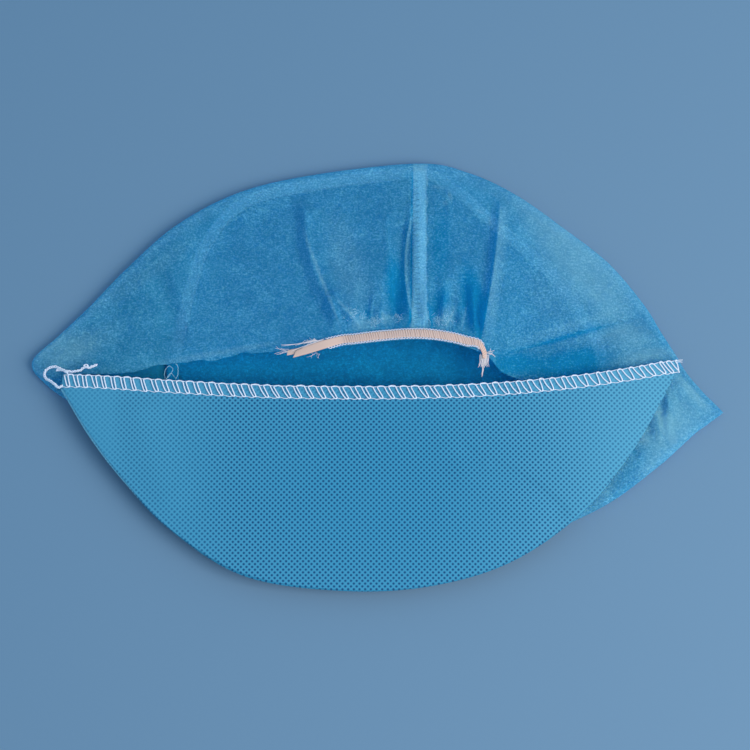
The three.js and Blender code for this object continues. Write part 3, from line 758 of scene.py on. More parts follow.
panel_shares = np.linspace(1.0, 0.0, PANEL_RINGS)[:-1]
panel_points = panel_rings(PANEL_SEWN_IN, panel_shares, CLOTH_THICK)
panel_x, panel_y = panel_points[..., 0], panel_points[..., 1]
panel_waves = unevenness(panel_x, panel_y, seed=8, longest=50.0, shortest=12.0, height=0.25)
panel_points[..., 2] += np.abs(panel_waves) * smooth((1 - panel_shares)[None] * 6)
panel_count, panel_rows = panel_points.shape[:2]
panel_flat = panel_points.reshape(-1, 3)
panel_middle = panel_flat.mean(0) * [1, 1, 0] + [0, 0, panel_points[:, -1, 2].mean()]
panel_all = np.vstack([panel_flat, panel_middle])
innermost = np.arange(panel_count) * panel_rows + panel_rows - 1
fan = np.stack([innermost, np.roll(innermost, -1), np.full(panel_count, len(panel_flat))], 1)
panel_faces = grid_faces(panel_count, panel_rows, True).tolist() + fan.tolist()
panel_cloth = nonwoven("panel_nonwoven_shaded", PANEL_SHADED_DEEP, PANEL_SHADED_PALE, PANEL_ALPHAS, CLOTH_BUMP)
panel_piece = new_piece("crown_top_panel", panel_all, panel_faces, panel_cloth)
set_values(panel_piece, "layering_and_painted_light", paleness(PANEL_PATCHES, panel_all[:, 0], panel_all[:, 1]))
thicken(panel_piece, CLOTH_THICK)
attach(panel_piece, "root")
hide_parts("top_panel")

# ---------------------------------------------------------------- crown seam
# The allowances of panel and band, overlocked together and turned in over the panel. They lie on
# the panel as a flat strip and show through the band as a paler line.

SEAM_FINENESS = 3
SEAM_WIDTH = 5.2
SEAM_THICK = 0.45
SEAM_HEIGHT = 1.0
SEAM_ROWS = 6
SEAM_INSET = 0.6
# How far the strip is turned out towards the outline instead, mm.
SEAM_LEANS_OUT = {
    "centre_back": 2.5, "elastic_left": 2.8, "back_left_1": 4.6, "back_left_2": 4.4, "back_left_3": 1.6,
}
# The deep blue is darker than the band's, painted shade for the strip where it lies inside the crown.
SEAM_BLUE_SHADED = (0.000, 0.215, 0.430, 1.0)
SEAM_BLUE_PALE = (0.720, 0.870, 0.840, 1.0)
SEAM_ALPHAS = (0.90, 1.0)
SEAM_BUMP = 0.10

seam_cloth = nonwoven("seam_nonwoven", SEAM_BLUE_SHADED, SEAM_BLUE_PALE, SEAM_ALPHAS, SEAM_BUMP)
seam_at = spread_stations(np.full(band_count, SEAM_FINENESS))
seam_leans = np.array([SEAM_LEANS_OUT.get(name, 0.0) for name in BAND_ROWS])[:, None]


def crown_seam_row(share):
    """One row of the strip: the seam line moved in by the inset and a share of the width, less the lean."""
    inset = SEAM_INSET + SEAM_WIDTH * share - curve_through(seam_leans, seam_at, True)
    row = seam_on_floor(seam_at) - outward_at(seam_at, "seam_x", "seam_y") * inset
    row[:, 2] = SEAM_HEIGHT + SEAM_THICK
    return row


seam_shares = np.linspace(0.0, 1.0, SEAM_ROWS + 1)
crown_seam_points = np.stack([crown_seam_row(share) for share in seam_shares[::-1]], 1)
seam_x, seam_y = crown_seam_points[..., 0], crown_seam_points[..., 1]
seam_waves = unevenness(seam_x, seam_y, seed=5, longest=25.0, shortest=6.0, height=0.3)
crown_seam_points[..., 2] += np.clip(seam_waves, -0.25, 0.25)
crown_seam_faces = grid_faces(len(crown_seam_points), SEAM_ROWS + 1, True)[:, ::-1]
crown_seam_piece = new_piece("crown_seam_allowance", crown_seam_points, crown_seam_faces, seam_cloth)
# the strip shows palest far back and deepest at the left tip, where the depth is painted shade inside the
# opening
left_back = smooth((-52 - seam_x) / 20) * smooth((seam_y - 8) / 16)
left_tip = smooth(1.4 - np.hypot((seam_x + 87) / 8, (seam_y + 1) / 9))
far_back = smooth((seam_y - 32) / 36) * (1 - 0.4 * smooth((seam_x - 30) / 30))
right_back = smooth((seam_x - 20) / 30) * smooth((seam_y + 4) / 14)
seam_pale = 0.20 + 0.40 * left_back - 0.9 * left_tip + 0.85 * far_back + 0.2 * right_back
set_values(crown_seam_piece, "layering_and_painted_light", seam_pale)
thicken(crown_seam_piece, SEAM_THICK)
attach(crown_seam_piece, "root")
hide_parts("crown_seam")

# ---------------------------------------------------------------- back seam
# The band's own two ends, joined at centre back. Their allowance hangs as one doubled strip
# against the inside of the top cloth, from the rim to the outline.

BACK_STRIP_DEPTH = 0.45
BACK_STRIP_ROWS = 60
BACK_STRIP_COLUMNS = 9
# Where its sides run, in stations: to the right of centre back, then to the left.
BACK_STRIP_SIDES = (-1 / 10, 1 / 11)
BACK_STRIP_PALENESS = 0.8

strip_at = np.linspace(*BACK_STRIP_SIDES, BACK_STRIP_COLUMNS)
strip_over = band_grid(strip_at, FLOOR_ROWS, FOLD_ROWS, BACK_STRIP_ROWS)[:, FLOOR_ROWS + FOLD_ROWS + 1 : -1]
strip_over = strip_over - [0, 0, BACK_STRIP_DEPTH]
strip_faces = grid_faces(BACK_STRIP_COLUMNS, strip_over.shape[1], False)
strip_piece = new_piece("back_seam_allowance", strip_over, strip_faces, seam_cloth)
set_values(strip_piece, "layering_and_painted_light", np.full(strip_over.shape[:2], BACK_STRIP_PALENESS))
thicken(strip_piece, SEAM_THICK)
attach(strip_piece, "root")
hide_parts("back_seam")

# ---------------------------------------------------------------- seam threads
# The overlock of the back seam: one thread that swings from the middle of its allowance to the left
# side and back, pressed up into the cloth and seen faintly through it.

PLY_TWIST = 1.4
BACK_STITCH_PITCH = 2.4
BACK_THREAD_RADIUS = 0.16
BACK_THREAD_DEPTH = 0.05
BACK_THREAD_END = 86
THREAD_THROUGH_CLOTH = (0.02, 0.30, 0.52, 1.0)
THREAD_THROUGH_ALPHA = 0.34


def gone_along(paths):
    """Distance gone at each point of a path, which is the sum of the steps before it."""
    steps = np.diff(paths, axis=-2, prepend=paths[..., :1, :])
    return np.cumsum(np.linalg.norm(steps, axis=-1), -1)


def tubes(paths, radii, sides):
    """Closed round threads along paths (threads x points x 3). The radius is swelled twice round the
    section by a ninth, and the swelling turns along the thread, so it looks laid from two plies."""
    paths = np.asarray(paths, float)
    ahead = unit(np.gradient(paths, axis=1))
    aside = unit(np.cross(ahead, [0.13, 0.07, 1.0]))
    above = np.cross(aside, ahead)
    angle = np.arange(sides) * math.tau / sides
    lay = (gone_along(paths) * math.tau / PLY_TWIST)[..., None]
    swell = 1 + np.cos(2 * angle[None, None] - lay) / 9
    reach = np.broadcast_to(np.asarray(radii, float), paths.shape[:2])[..., None] * swell
    turn = angle[None, None, :, None]
    around = np.cos(turn) * aside[:, :, None] + np.sin(turn) * above[:, :, None]
    rings = paths[:, :, None] + reach[..., None] * around
    threads, count = paths.shape[:2]
    one = grid_faces(sides, count, True)
    # grid_faces numbers a point side * count + step, and the rings are step * sides + side
    one = (one % count) * sides + one // count
    whole = (one[None] + (np.arange(threads) * count * sides)[:, None, None]).reshape(-1, 4)
    ends = [np.arange(sides) + t * count * sides for t in range(threads)]
    caps = [e[::-1].tolist() for e in ends] + [(e + (count - 1) * sides).tolist() for e in ends]
    return rings.reshape(-1, 3), whole.tolist() + caps


strip_length = np.linalg.norm(strip_over[0, -1] - strip_over[0, 0])
units = int(strip_length / BACK_STITCH_PITCH)
swing_at = np.linspace(0, units, units * 10)
swing_turn = swing_at * math.tau
strip_column = (0.73 + 0.25 * np.cos(swing_turn)) * (BACK_STRIP_COLUMNS - 1)
strip_share = np.clip(swing_at / units + 0.004 * np.sin(swing_turn), 0, 0.9999)
strip_row = strip_share * (strip_over.shape[1] - 1)
left, low = strip_column.astype(int), strip_row.astype(int)
share_x, share_y = (strip_column - left)[:, None], (strip_row - low)[:, None]
row_below = strip_over[left, low] * (1 - share_x) + strip_over[left + 1, low] * share_x
row_above = strip_over[left, low + 1] * (1 - share_x) + strip_over[left + 1, low + 1] * share_x
on_strip = row_below * (1 - share_y) + row_above * share_y
cloth_over = band_points[:, FLOOR_ROWS + FOLD_ROWS :].reshape(-1, 3)


def away_from_cloth(x, y):
    """Square of the distance in plan from each place to every point of the band's top."""
    return (cloth_over[None, :, 0] - x[:, None]) ** 2 + (cloth_over[None, :, 1] - y[:, None]) ** 2


def under_cloth(path, depth):
    """The path laid under the band's top. Its height is that of the three nearest points of the cloth,
    weighted by one over the square of their distance, less the depth."""
    away = away_from_cloth(path[:, 0], path[:, 1])
    nearest = np.argsort(away, axis=1)[:, :3]
    weight = 1 / (np.take_along_axis(away, nearest, 1) + 0.01)
    height = (cloth_over[nearest, 2] * weight).sum(1) / weight.sum(1)
    return np.column_stack([path[:, 0], path[:, 1], height - depth])


back_thread = under_cloth(on_strip[on_strip[:, 1] < BACK_THREAD_END], BACK_THREAD_DEPTH)
faint_thread = plain_finish(
    "thread_through_cloth",
    THREAD_THROUGH_CLOTH,
    roughness=0.8,
    specular=0.2,
    alpha=THREAD_THROUGH_ALPHA,
)
back_threads = tubes(back_thread[None], BACK_THREAD_RADIUS, sides=4)
pressed_threads = new_piece("back_seam_threads", *back_threads, faint_thread)
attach(pressed_threads, "root")

# ---------------------------------------------------------------- peak
# Two plies of stiff cloth, cut to one crescent and sewn to the front rim. The upper ply's face is
# embossed all over with small pits in a staggered lattice; the lower ply stands out a little.

PEAK_COLUMNS = "seam_x seam_y seam_z edge_x edge_y edge_z bow show".split()
PEAK_ROWS = {
    "left_end": (-130.0, -3.4, 7.9, -130.4, -8.3, 7.2, 0.0, 1.6),
    "left_1": (-124, -3.6, 8.3, -119, -26.8, 6.9, 0.1, 2.0),
    "left_2": (-112, -4.2, 8.6, -104.5, -46, 6.6, 0.3, 1.0),
    "left_3": (-88, -5.9, 8.8, -84, -67.5, 6.4, 0.5, 0.3),
    "middle_1": (-50, -8.1, 9.0, -54, -85.8, 6.3, 0.6, 0.8),
    "middle_2": (-15, -8.8, 9.1, -16, -92.3, 6.3, 0.6, 0.4),
    "middle_3": (18, -8.6, 9.1, 20, -90.8, 6.3, 0.6, 0.4),
    "middle_4": (50, -7.2, 9.0, 54, -80.7, 6.4, 0.6, 0.6),
    "right_1": (82, -4.1, 8.8, 84, -60.5, 6.6, 0.5, 0.2),
    "right_2": (106, -0.5, 8.6, 105, -35.5, 6.9, 0.3, 0.0),
    "right_3": (117, 1.6, 8.4, 117, -15.5, 7.5, 0.1, 0.0),
    "right_end": (124.5, 2.7, 8.0, 123, -4.5, 7.9, 0.0, 0.0),
}
PEAK_WAVES = {
    "right_dent": (40, -38, 80, -65, 3, -0.7, 7, 4),
    "right_swell": (36, -46, 70, -72, 2, 0.4, 8, 9),
    "left_swell": (-98, -12, -84, -52, -3, 0.5, 12, 14),
}
PLY_THICK = 0.45
UPPER_TOP = 2.3
EMBOSS_STEP = (0.57, 0.5625)
EMBOSS_DEPTH = 0.22
# Node, height of the face over the seam, how far the edge stands out, step of the face's lattice,
# depth of its pits, and how pale its free edge is at the left end.
PLIES = {
    "peak_upper_cloth": ("peak_upper_ply", UPPER_TOP, 0.0, EMBOSS_STEP, EMBOSS_DEPTH, 0.0),
    "peak_under_cloth": ("peak_under_ply", 1.75, 1.0, (2.0, 2.0), 0.0, 1.2),
}
PLY_UNDER_ROWS = 8
ALLOWANCE = 5.2
PEAK_BLUE = (0.015, 0.204, 0.388, 1.0)
PEAK_PALE = (0.110, 0.375, 0.560, 1.0)
PIT_BLUE = (0.000, 0.056, 0.165, 1.0)

peak = columns(PEAK_COLUMNS, PEAK_ROWS)


def peak_curve(shares, *names):
    """The open curve through the named columns of the peak's table, shares from 0 to 1."""
    points = np.stack([peak[name] for name in names], 1)
    return curve_through(points, shares * (len(points) - 1), False)


def peak_frame(x, height, stands_out):
    """For plan positions x: the seam edge and the free edge, each as (y, z), and the bow. The crescent's
    left end belongs to the seam edge and its right end to the free edge, so both are functions of x."""
    shares = np.linspace(0, 1, 1500)
    seam = peak_curve(shares, "seam_x", "seam_y", "seam_z")
    edge = peak_curve(shares, "edge_x", "edge_y", "edge_z")
    shape = peak_curve(shares, "bow", "show")
    out = (edge - seam) * [1, 1, 0]
    edge = edge + unit(out) * shape[:, 1:] * stands_out
    back = np.vstack([edge[:1], seam])
    front = np.vstack([edge, seam[-1:]])
    back_y, back_z = (np.interp(x, back[:, 0], back[:, k]) for k in (1, 2))
    front_y, front_z = (np.interp(x, front[:, 0], front[:, k]) for k in (1, 2))
    bow = np.interp(x, seam[:, 0], shape[:, 0])
    return back_y, back_z + height, front_y, front_z + height, bow, (front[0, 0], front[-1, 0])


def peak_height(x, y, height, stands_out):
    """Height of a ply's face over (x, y): straight from seam to edge, plus the bow as a parabola and the
    shallow waves, which fade at both edges."""
    back_y, back_z, front_y, front_z, bow, _ = peak_frame(x, height, stands_out)
    across = np.clip((back_y - y) / np.maximum(back_y - front_y, 1e-6), 0, 1)
    waves = fold_heights(PEAK_WAVES, x, y) * smooth((back_y - y - 6) / 8) * smooth((y - front_y) / 10)
    return back_z + (front_z - back_z) * across + bow * 4 * across * (1 - across) + waves


def ply_mesh(height, stands_out, step, pit_depth):
    """A closed ply. Its face is a square lattice clipped to the crescent, with the points at a pit's
    middle pressed in; its back is a few rows between the same two edges, and walls join them."""
    *_, (first, last) = peak_frame(np.array([0.0]), height, stands_out)
    lattice_x = np.arange(math.ceil(first / step[0]), math.floor(last / step[0]) + 1)
    x = np.concatenate([[first], lattice_x * step[0], [last]])
    number_x = np.concatenate([[lattice_x[0] - 1], lattice_x, [lattice_x[-1] + 1]])
    back_y, _, front_y, _, _, _ = peak_frame(x, height, stands_out)
    number_y = np.arange(math.floor(front_y.min() / step[1]), math.ceil(back_y.max() / step[1]) + 1)
    y = np.clip(number_y[None] * step[1], front_y[:, None], back_y[:, None])
    grid_x = np.repeat(x[:, None], y.shape[1], 1)
    face_z = peak_height(grid_x.ravel(), y.ravel(), height, stands_out).reshape(y.shape)
    inside = (y > front_y[:, None] + 0.3) & (y < back_y[:, None] - 0.3)
    # a pit stands at every fourth line each way, and one more in the middle of four
    pit = (number_x[:, None] % 4 == 0) & (number_y[None] % 4 == 0)
    pit |= (number_x[:, None] % 4 == 2) & (number_y[None] % 4 == 2)
    face = np.stack([grid_x, y, face_z - pit_depth * (pit & inside)], -1)
    shares = np.linspace(0, 1, PLY_UNDER_ROWS + 1)[None]
    under_y = front_y[:, None] * (1 - shares) + back_y[:, None] * shares
    under_x = np.repeat(x[:, None], under_y.shape[1], 1)
    under_z = peak_height(under_x.ravel(), under_y.ravel(), height - PLY_THICK, stands_out)
    under = np.stack([under_x, under_y, under_z.reshape(under_y.shape)], -1)
    rows_over, rows_under = face.shape[1], under.shape[1]
    shift = face.size // 3
    face_quads = grid_faces(len(x), rows_over, False)
    under_quads = grid_faces(len(x), rows_under, False)[:, ::-1] + shift
    front_over = np.arange(len(x)) * rows_over
    front_under = np.arange(len(x)) * rows_under + shift
    back_over, back_under = front_over + rows_over - 1, front_under + rows_under - 1
    front_wall = np.stack([front_over[:-1], front_under[:-1], front_under[1:], front_over[1:]], 1)
    back_wall = np.stack([back_over[1:], back_under[1:], back_under[:-1], back_over[:-1]], 1)
    points = np.vstack([face.reshape(-1, 3), under.reshape(-1, 3)])
    return points, np.vstack([face_quads, under_quads, front_wall, back_wall])


def close_up(piece):
    """Merge the points that clipping laid on one another, close the ends, and turn all faces outwards."""
    shape = bmesh.new()
    shape.from_mesh(piece.data)
    bmesh.ops.remove_doubles(shape, verts=shape.verts, dist=0.002 * MM)
    bmesh.ops.holes_fill(shape, edges=shape.edges, sides=0)
    bmesh.ops.recalc_face_normals(shape, faces=shape.faces)
    shape.to_mesh(piece.data)
    shape.free()


def pitted_cloth(name, base, pale, pit):
    """Stiff embossed cloth: |cos u + cos v| is 2 at each spot of a staggered lattice, and a smooth step of
    it mixes in the pits' darker colour. Midway between the spots it is paler, a painted highlight on the
    bulges between the pits. The stored paleness, painted light included, makes the cloth paler, and
    flatness takes the spots away, as in the sewn allowance."""
    material, tree, shader = principled(name, roughness=0.8, specular=0.3)
    place = add_node(tree, "ShaderNodeTexCoord").outputs["Object"]
    split = add_node(tree, "ShaderNodeSeparateXYZ", {"Vector": place}).outputs
    waves = [
        maths(tree, "COSINE", maths(tree, "MULTIPLY", split[axis], math.pi / (2 * step * MM)))
        for axis, step in zip("XY", EMBOSS_STEP)
    ]
    # both cosines are 1 at one spot of a cell and -1 at the other
    size = maths(tree, "ABSOLUTE", maths(tree, "ADD", *waves))
    spot = mapped(tree, size, 0.85, 1.7, interpolation_type="SMOOTHSTEP")
    seen = maths(tree, "MULTIPLY", spot, mapped(tree, stored(tree, "flatness"), 0.0, 1.0, 1.0, 0.0))
    # a painted highlight on the bulges midway between the pits
    between = mapped(tree, size, 0.9, 0.0, 0.0, 0.16)
    paler = mixed(tree, maths(tree, "ADD", stored(tree, "layering_and_painted_light"), between), base, pale)
    grain = {"Height": noise(tree, place, scale=1500.0, detail=3.0, roughness=0.5)}
    relief = add_node(tree, "ShaderNodeBump", {**grain, "Distance": 0.08 * MM, "Strength": 0.6})
    fill(tree, shader, {"Base Color": mixed(tree, seen, paler, pit), "Normal": relief.outputs["Normal"]})
    return material


def ply_looks(ply, edge_paleness):
    """Paleness and flatness at each point of a ply. It is paler in the sewn allowance. It is also paler
    away from its middle and towards the right, painted light, the right side as a painted sheen from the
    lamp.
    Its free edge is paler by the given amount at the left end, and darker by six tenths of that elsewhere,
    a painted shadow of the ply above it. Its spots fade in the allowance, towards both ends and in cloudy
    patches."""
    places = np.empty(len(ply.data.vertices) * 3, dtype=np.float32)
    ply.data.vertices.foreach_get("co", places)
    x, y, _ = places.reshape(-1, 3).T / MM
    back_y, _, front_y, _, _, _ = peak_frame(x, 0.0, 0.0)
    sewn = smooth((ALLOWANCE - (back_y - y)) / 0.8 + 0.5)
    # paler away from the middle and towards the right: painted light, the right as a painted sheen from the
    # lamp
    sides = 1 - smooth(1.15 - np.hypot((x - 8) / 120, (y + 50) / 80))
    # the free edge's darker part is a painted shadow of the ply above it
    edge = smooth((front_y + 1.0 - y) / 1.5) * (1.6 * smooth((-92 - x) / 10) - 0.6)
    cloudy = np.clip(unevenness(x, y, seed=27, longest=60.0, shortest=12.0, height=0.5), 0, 0.3)
    pale = 0.12 * sewn + 0.20 * sides + 0.22 * smooth((x - 10) / 110) + edge_paleness * edge
    flat_left = 0.30 * smooth((-103 - x) / 8) + 0.42 * smooth((-52 - x) / 34)
    flat_right = 0.50 * smooth((x - 55) / 60)
    return pale, 0.72 * sewn + flat_left + flat_right + 0.2 * cloudy


peak_cloth = pitted_cloth("peak_nonwoven", PEAK_BLUE, PEAK_PALE, PIT_BLUE)
for name, (node, top, stands_out, step, pit_depth, edge_paleness) in PLIES.items():
    ply = new_piece(name, *ply_mesh(top, stands_out, step, pit_depth), peak_cloth)
    close_up(ply)
    pale, flat = ply_looks(ply, edge_paleness)
    set_values(ply, "layering_and_painted_light", pale)
    set_values(ply, "flatness", flat)
    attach(ply, "root")
    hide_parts(node)

# ---------------------------------------------------------------- elastic
# A short flat cream elastic, stretched and sewn along the back rim under slanted cream stitches that
# pull it into close ribs, with white thread along both edges. Both ends are cut off loose: the left is
# plain tape that lies on the rim with a frayed tip under it, the right bends down and frays out.

ELASTIC_WIDTH = 3.2
ELASTIC_THICK = 0.75
ELASTIC_INSET = 0.95
SEWN_FROM = -0.72
SEWN_TO = 0.90
END_COLUMNS = "x y z across tilt width".split()
RIGHT_END_ROWS = {
    "tip": (44.6, 3.0, 12.2, 2, -14, 1.5),
    "hanging": (44.5, 5.6, 13.2, 20, -12, 2.1),
    "turning": (42.2, 8.9, 14.2, 60, -4, 2.6),
}
LEFT_END_ROWS = {
    "lifted": (-21.4, 8.4, 14.5, 107, 2, 3.5),
    "free": (-28.0, 6.3, 14.1, 106, 2, 3.3),
    "tip": (-33.8, 4.5, 13.5, 66, 0, 3.4),
}
UNDER_TIP_ROWS = {
    "hidden": (-29.0, 6.6, 13.5, 106, 0, 2.6),
    "tip": (-36.9, 5.2, 12.9, 82, 0, 2.2),
}
RIB_PITCH = 0.95
RIB_HEIGHT = 0.12
RIB_LEAN = 1.0
ELASTIC_PITCH = 0.16
ELASTIC_CLEAR = 0.3
ELASTIC_SWELL = 0.12
UNDER_TIP_THICK = 0.6
LEFT_END_PLAIN = 20.0
ELASTIC_ACROSS = 12
BARS_FROM = 6.0
BAR_UNEVENNESS = 0.10
BAR_SHARES = (1.10, -0.22)
BAR_DROP = 0.85
BAR_RADIUS = 0.15
EDGING_FROM = 5.0
EDGING_PAST_RIBS = 6.0
EDGE_LOOP_PITCH = 1.3
EDGE_LOOP_RADIUS = 0.17
ELASTIC_CREAM = (0.520, 0.400, 0.365, 1.0)
# the colour of the painted shade in the grooves between the ribs
ELASTIC_GROOVE_SHADE = (0.230, 0.150, 0.135, 1.0)
ELASTIC_STITCH = (0.60, 0.50, 0.49, 1.0)
GROOVE_SHADE_SHARE = 0.75
THREAD_WHITE = (0.58, 0.68, 0.84, 1.0)


def end_edges(rows):
    """Both edges of the tape at each row of a loose end: its middle, half its width either way across."""
    end = columns(END_COLUMNS, rows)
    turn, tilt = np.radians(end["across"]), np.radians(end["tilt"])
    across = np.stack([np.cos(turn) * np.cos(tilt), np.sin(turn) * np.cos(tilt), np.sin(tilt)], 1)
    middle = np.stack([end["x"], end["y"], end["z"]], 1)
    half = across * end["width"][:, None] / 2
    return np.stack([middle - half, middle + half], 1)


def in_from_rim(stations, distance):
    """Points of the band's outer face at a distance from the rim, measured along the cloth."""
    over = band_grid(stations, FLOOR_ROWS, FOLD_ROWS, TOP_ROWS)[:, ::-1]
    gone = gone_along(over)
    after = np.argmax(gone > distance, axis=1)
    rows = np.arange(len(over))
    share = (distance - gone[rows, after - 1]) / (gone[rows, after] - gone[rows, after - 1])
    return over[rows, after - 1] * (1 - share[:, None]) + over[rows, after] * share[:, None]


def even_edges(keys):
    """The tape's two edges through key pairs, as pairs at even distances along its middle, and those
    distances."""
    fine = np.linspace(0, len(keys) - 1, 1200)
    edges = curve_through(keys.reshape(len(keys), 6), fine, False)
    gone = gone_along(edges.reshape(-1, 2, 3).mean(1))
    at = np.linspace(0, gone[-1], int(round(gone[-1] / ELASTIC_PITCH)) + 1)
    return np.stack([np.interp(at, gone, edges[:, k]) for k in range(6)], 1).reshape(-1, 2, 3), at


def tape_body(edges, ribs, thickness):
    """Closed tape. Its back goes straight from edge to edge; its face is swelled by 1 - |2s - 1|^6 of the
    share s across, and ribbed."""
    shares = np.linspace(0, 1, ELASTIC_ACROSS + 1)
    across = shares[None, :, None]
    flat = edges[:, :1] * (1 - across) + edges[:, 1:] * across
    rounded = (1 - np.abs(2 * shares - 1) ** 6)[None] * ELASTIC_SWELL
    face = flat + (thickness - ELASTIC_SWELL - RIB_HEIGHT + rounded + ribs)[..., None] * [0, 0, 1.0]
    ring = np.concatenate([face, flat[:, ::-1] + [0, 0, 0.05]], 1).transpose(1, 0, 2)
    rows, count = ring.shape[:2]
    caps = [(np.arange(rows) * count).tolist(), (np.arange(rows)[::-1] * count + count - 1).tolist()]
    return ring.reshape(-1, 3), grid_faces(rows, count, True).tolist() + caps


def joined(parts):
    """Several (points, faces) made one, each part's faces renumbered past the points before it."""
    shift, all_points, all_faces = 0, [], []
    for points, faces in parts:
        all_points.append(points)
        all_faces += [[v + shift for v in face] for face in faces]
        shift += len(points)
    return np.vstack(all_points), all_faces


sewn_at = np.linspace(SEWN_FROM, SEWN_TO, 13)
sewn_sides = [in_from_rim(sewn_at, ELASTIC_INSET + side) for side in (0, ELASTIC_WIDTH)]
sewn_edges = np.stack(sewn_sides, 1) + [0, 0, ELASTIC_CLEAR]
tape_keys = np.concatenate([end_edges(RIGHT_END_ROWS), sewn_edges, end_edges(LEFT_END_ROWS)])
tape_edges, tape_distance = even_edges(tape_keys)
under_edges, _ = even_edges(end_edges(UNDER_TIP_ROWS))
plain_from = tape_distance[-1] - LEFT_END_PLAIN
before_plain = plain_from - tape_distance[:, None]
tape_share = np.linspace(0, 1, ELASTIC_ACROSS + 1)[None]
ribbing = np.abs(np.sin((tape_distance[:, None] - RIB_LEAN * tape_share) * math.pi / RIB_PITCH))
ribs = ribbing * RIB_HEIGHT * (0.25 + 0.75 * smooth(before_plain / 8))
# The grooves between the ribs are darkened in colour, a painted shade.
groove_shades = GROOVE_SHADE_SHARE * smooth(1 - ribbing / 0.6) * smooth(before_plain / 4)
elastic_weave, weave_tree, weave_shader = principled("elastic_weave", roughness=0.85, specular=0.25)
weave_colour = mixed(weave_tree, stored(weave_tree, "groove_shade"), ELASTIC_CREAM, ELASTIC_GROOVE_SHADE)
fill(weave_tree, weave_shader, {"Base Color": weave_colour})
tape_bodies = [tape_body(tape_edges, ribs, ELASTIC_THICK), tape_body(under_edges, 0.0, UNDER_TIP_THICK)]
elastic_piece = new_piece("elastic_tape", *joined(tape_bodies), elastic_weave)
no_groove_shade = np.zeros(len(elastic_piece.data.vertices) - groove_shades.size)
set_values(elastic_piece, "groove_shade", np.concatenate([groove_shades.T.ravel(), no_groove_shade]))
close_up(elastic_piece)
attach(elastic_piece, "root")
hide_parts("elastic")


def on_tape(distance, share, lift):
    """Point over the tape at a distance along it and a share across, lifted off its face."""
    first, second = (
        np.stack([np.interp(distance, tape_distance, side[:, k]) for k in range(3)], -1)
        for side in (tape_edges[:, 0], tape_edges[:, 1])
    )
    share = np.broadcast_to(share, np.shape(distance))[..., None]
    point = first * (1 - share) + second * share
    point[..., 2] += ELASTIC_THICK + lift
    return point


bar_start = np.arange(BARS_FROM, plain_from - 1.0, RIB_PITCH)
bar_uneven = np.random.default_rng(61)
bar_start = bar_start + bar_uneven.normal(0, BAR_UNEVENNESS, len(bar_start))
bar_share = np.linspace(*BAR_SHARES, 13)[None]
# a bar's ends bend down past the tape's sides, and the bars lean most at the right end
bar_lift = 0.02 - BAR_DROP * smooth((np.abs(bar_share - 0.5) - 0.38) / 0.30)
bar_lean = RIB_LEAN * (0.6 + 0.8 * smooth((40 - bar_start[:, None]) / 40))
bars = on_tape(bar_start[:, None] + bar_lean * (bar_share - 0.5), bar_share, bar_lift)
edge_run = np.linspace(EDGING_FROM, plain_from + EDGING_PAST_RIBS, 1800)
edge_swing = edge_run * math.tau / EDGE_LOOP_PITCH
round_edge = 0.10 * np.cos(edge_swing)
edge_threads = [
    on_tape(edge_run, 1.10 + 0.06 * np.sin(edge_swing), -0.10 + round_edge),
    on_tape(edge_run + 3 * round_edge, -0.10 + 0.10 * np.sin(edge_swing + 1), -0.40 + round_edge),
]
stitch_cream = plain_finish("elastic_stitch", ELASTIC_STITCH, roughness=0.75, specular=0.3)
white_thread = plain_finish("white_thread", THREAD_WHITE, roughness=0.7, specular=0.3)
elastic_bars = new_piece("elastic_bars", *tubes(bars, BAR_RADIUS, sides=5), stitch_cream)
edge_tubes = tubes(np.stack(edge_threads), EDGE_LOOP_RADIUS, sides=4)
elastic_edging = new_piece("elastic_edging", *edge_tubes, white_thread)
for piece in (elastic_bars, elastic_edging):
    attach(piece, "root")

# ---------------------------------------------------------------- peak overlock
# White thread that joins both plies to the front rim and wraps their cut edge. One thread runs to
# and fro across the allowance in slanted pairs of bars; two finer ones lie along its two edges.

STITCH_COLUMNS = "x pitch down_lean up_lean bow".split()
STITCH_ROWS = {
    "left": (-130, 3.7, 1.2, 1.0, 0.0),
    "left_middle": (-100, 4.3, 1.8, 1.6, 0.1),
    "middle": (-40, 4.7, 2.6, 2.2, 0.3),
    "right_middle": (40, 4.7, 2.7, 2.0, 0.3),
    "right": (60, 4.7, 2.6, 1.2, 0.5),
    "right_near": (105, 4.7, 2.7, 1.2, 0.5),
    "right_end": (118, 3.5, 3.0, 2.2, 0.2),
}
STITCH_TOP = 0.45
STITCH_BOTTOM = 5.1
STITCH_HEIGHT = 0.26
U_GAP = 1.25
FIRST_STITCH = 0.8
LAST_STITCH = 0.5
LAST_PITCH = 4.4
LEAN_JITTER = 0.18
GAP_JITTER = 0.12
TOP_JITTER = 0.10
BOTTOM_JITTER = 0.12
UNIT_KEYS = 10
WRAP_REACH = 1.5
WRAP_DROP = 1.2
THREAD_RADIUS = 0.28
EDGE_THREAD_RADIUS = 0.16
THREAD_SIDES = 7

stitch = columns(STITCH_COLUMNS, STITCH_ROWS)

seam_line = peak_curve(np.linspace(0, 1, 2000), "seam_x", "seam_y", "seam_z")
seam_gone = gone_along(seam_line[:, :2])


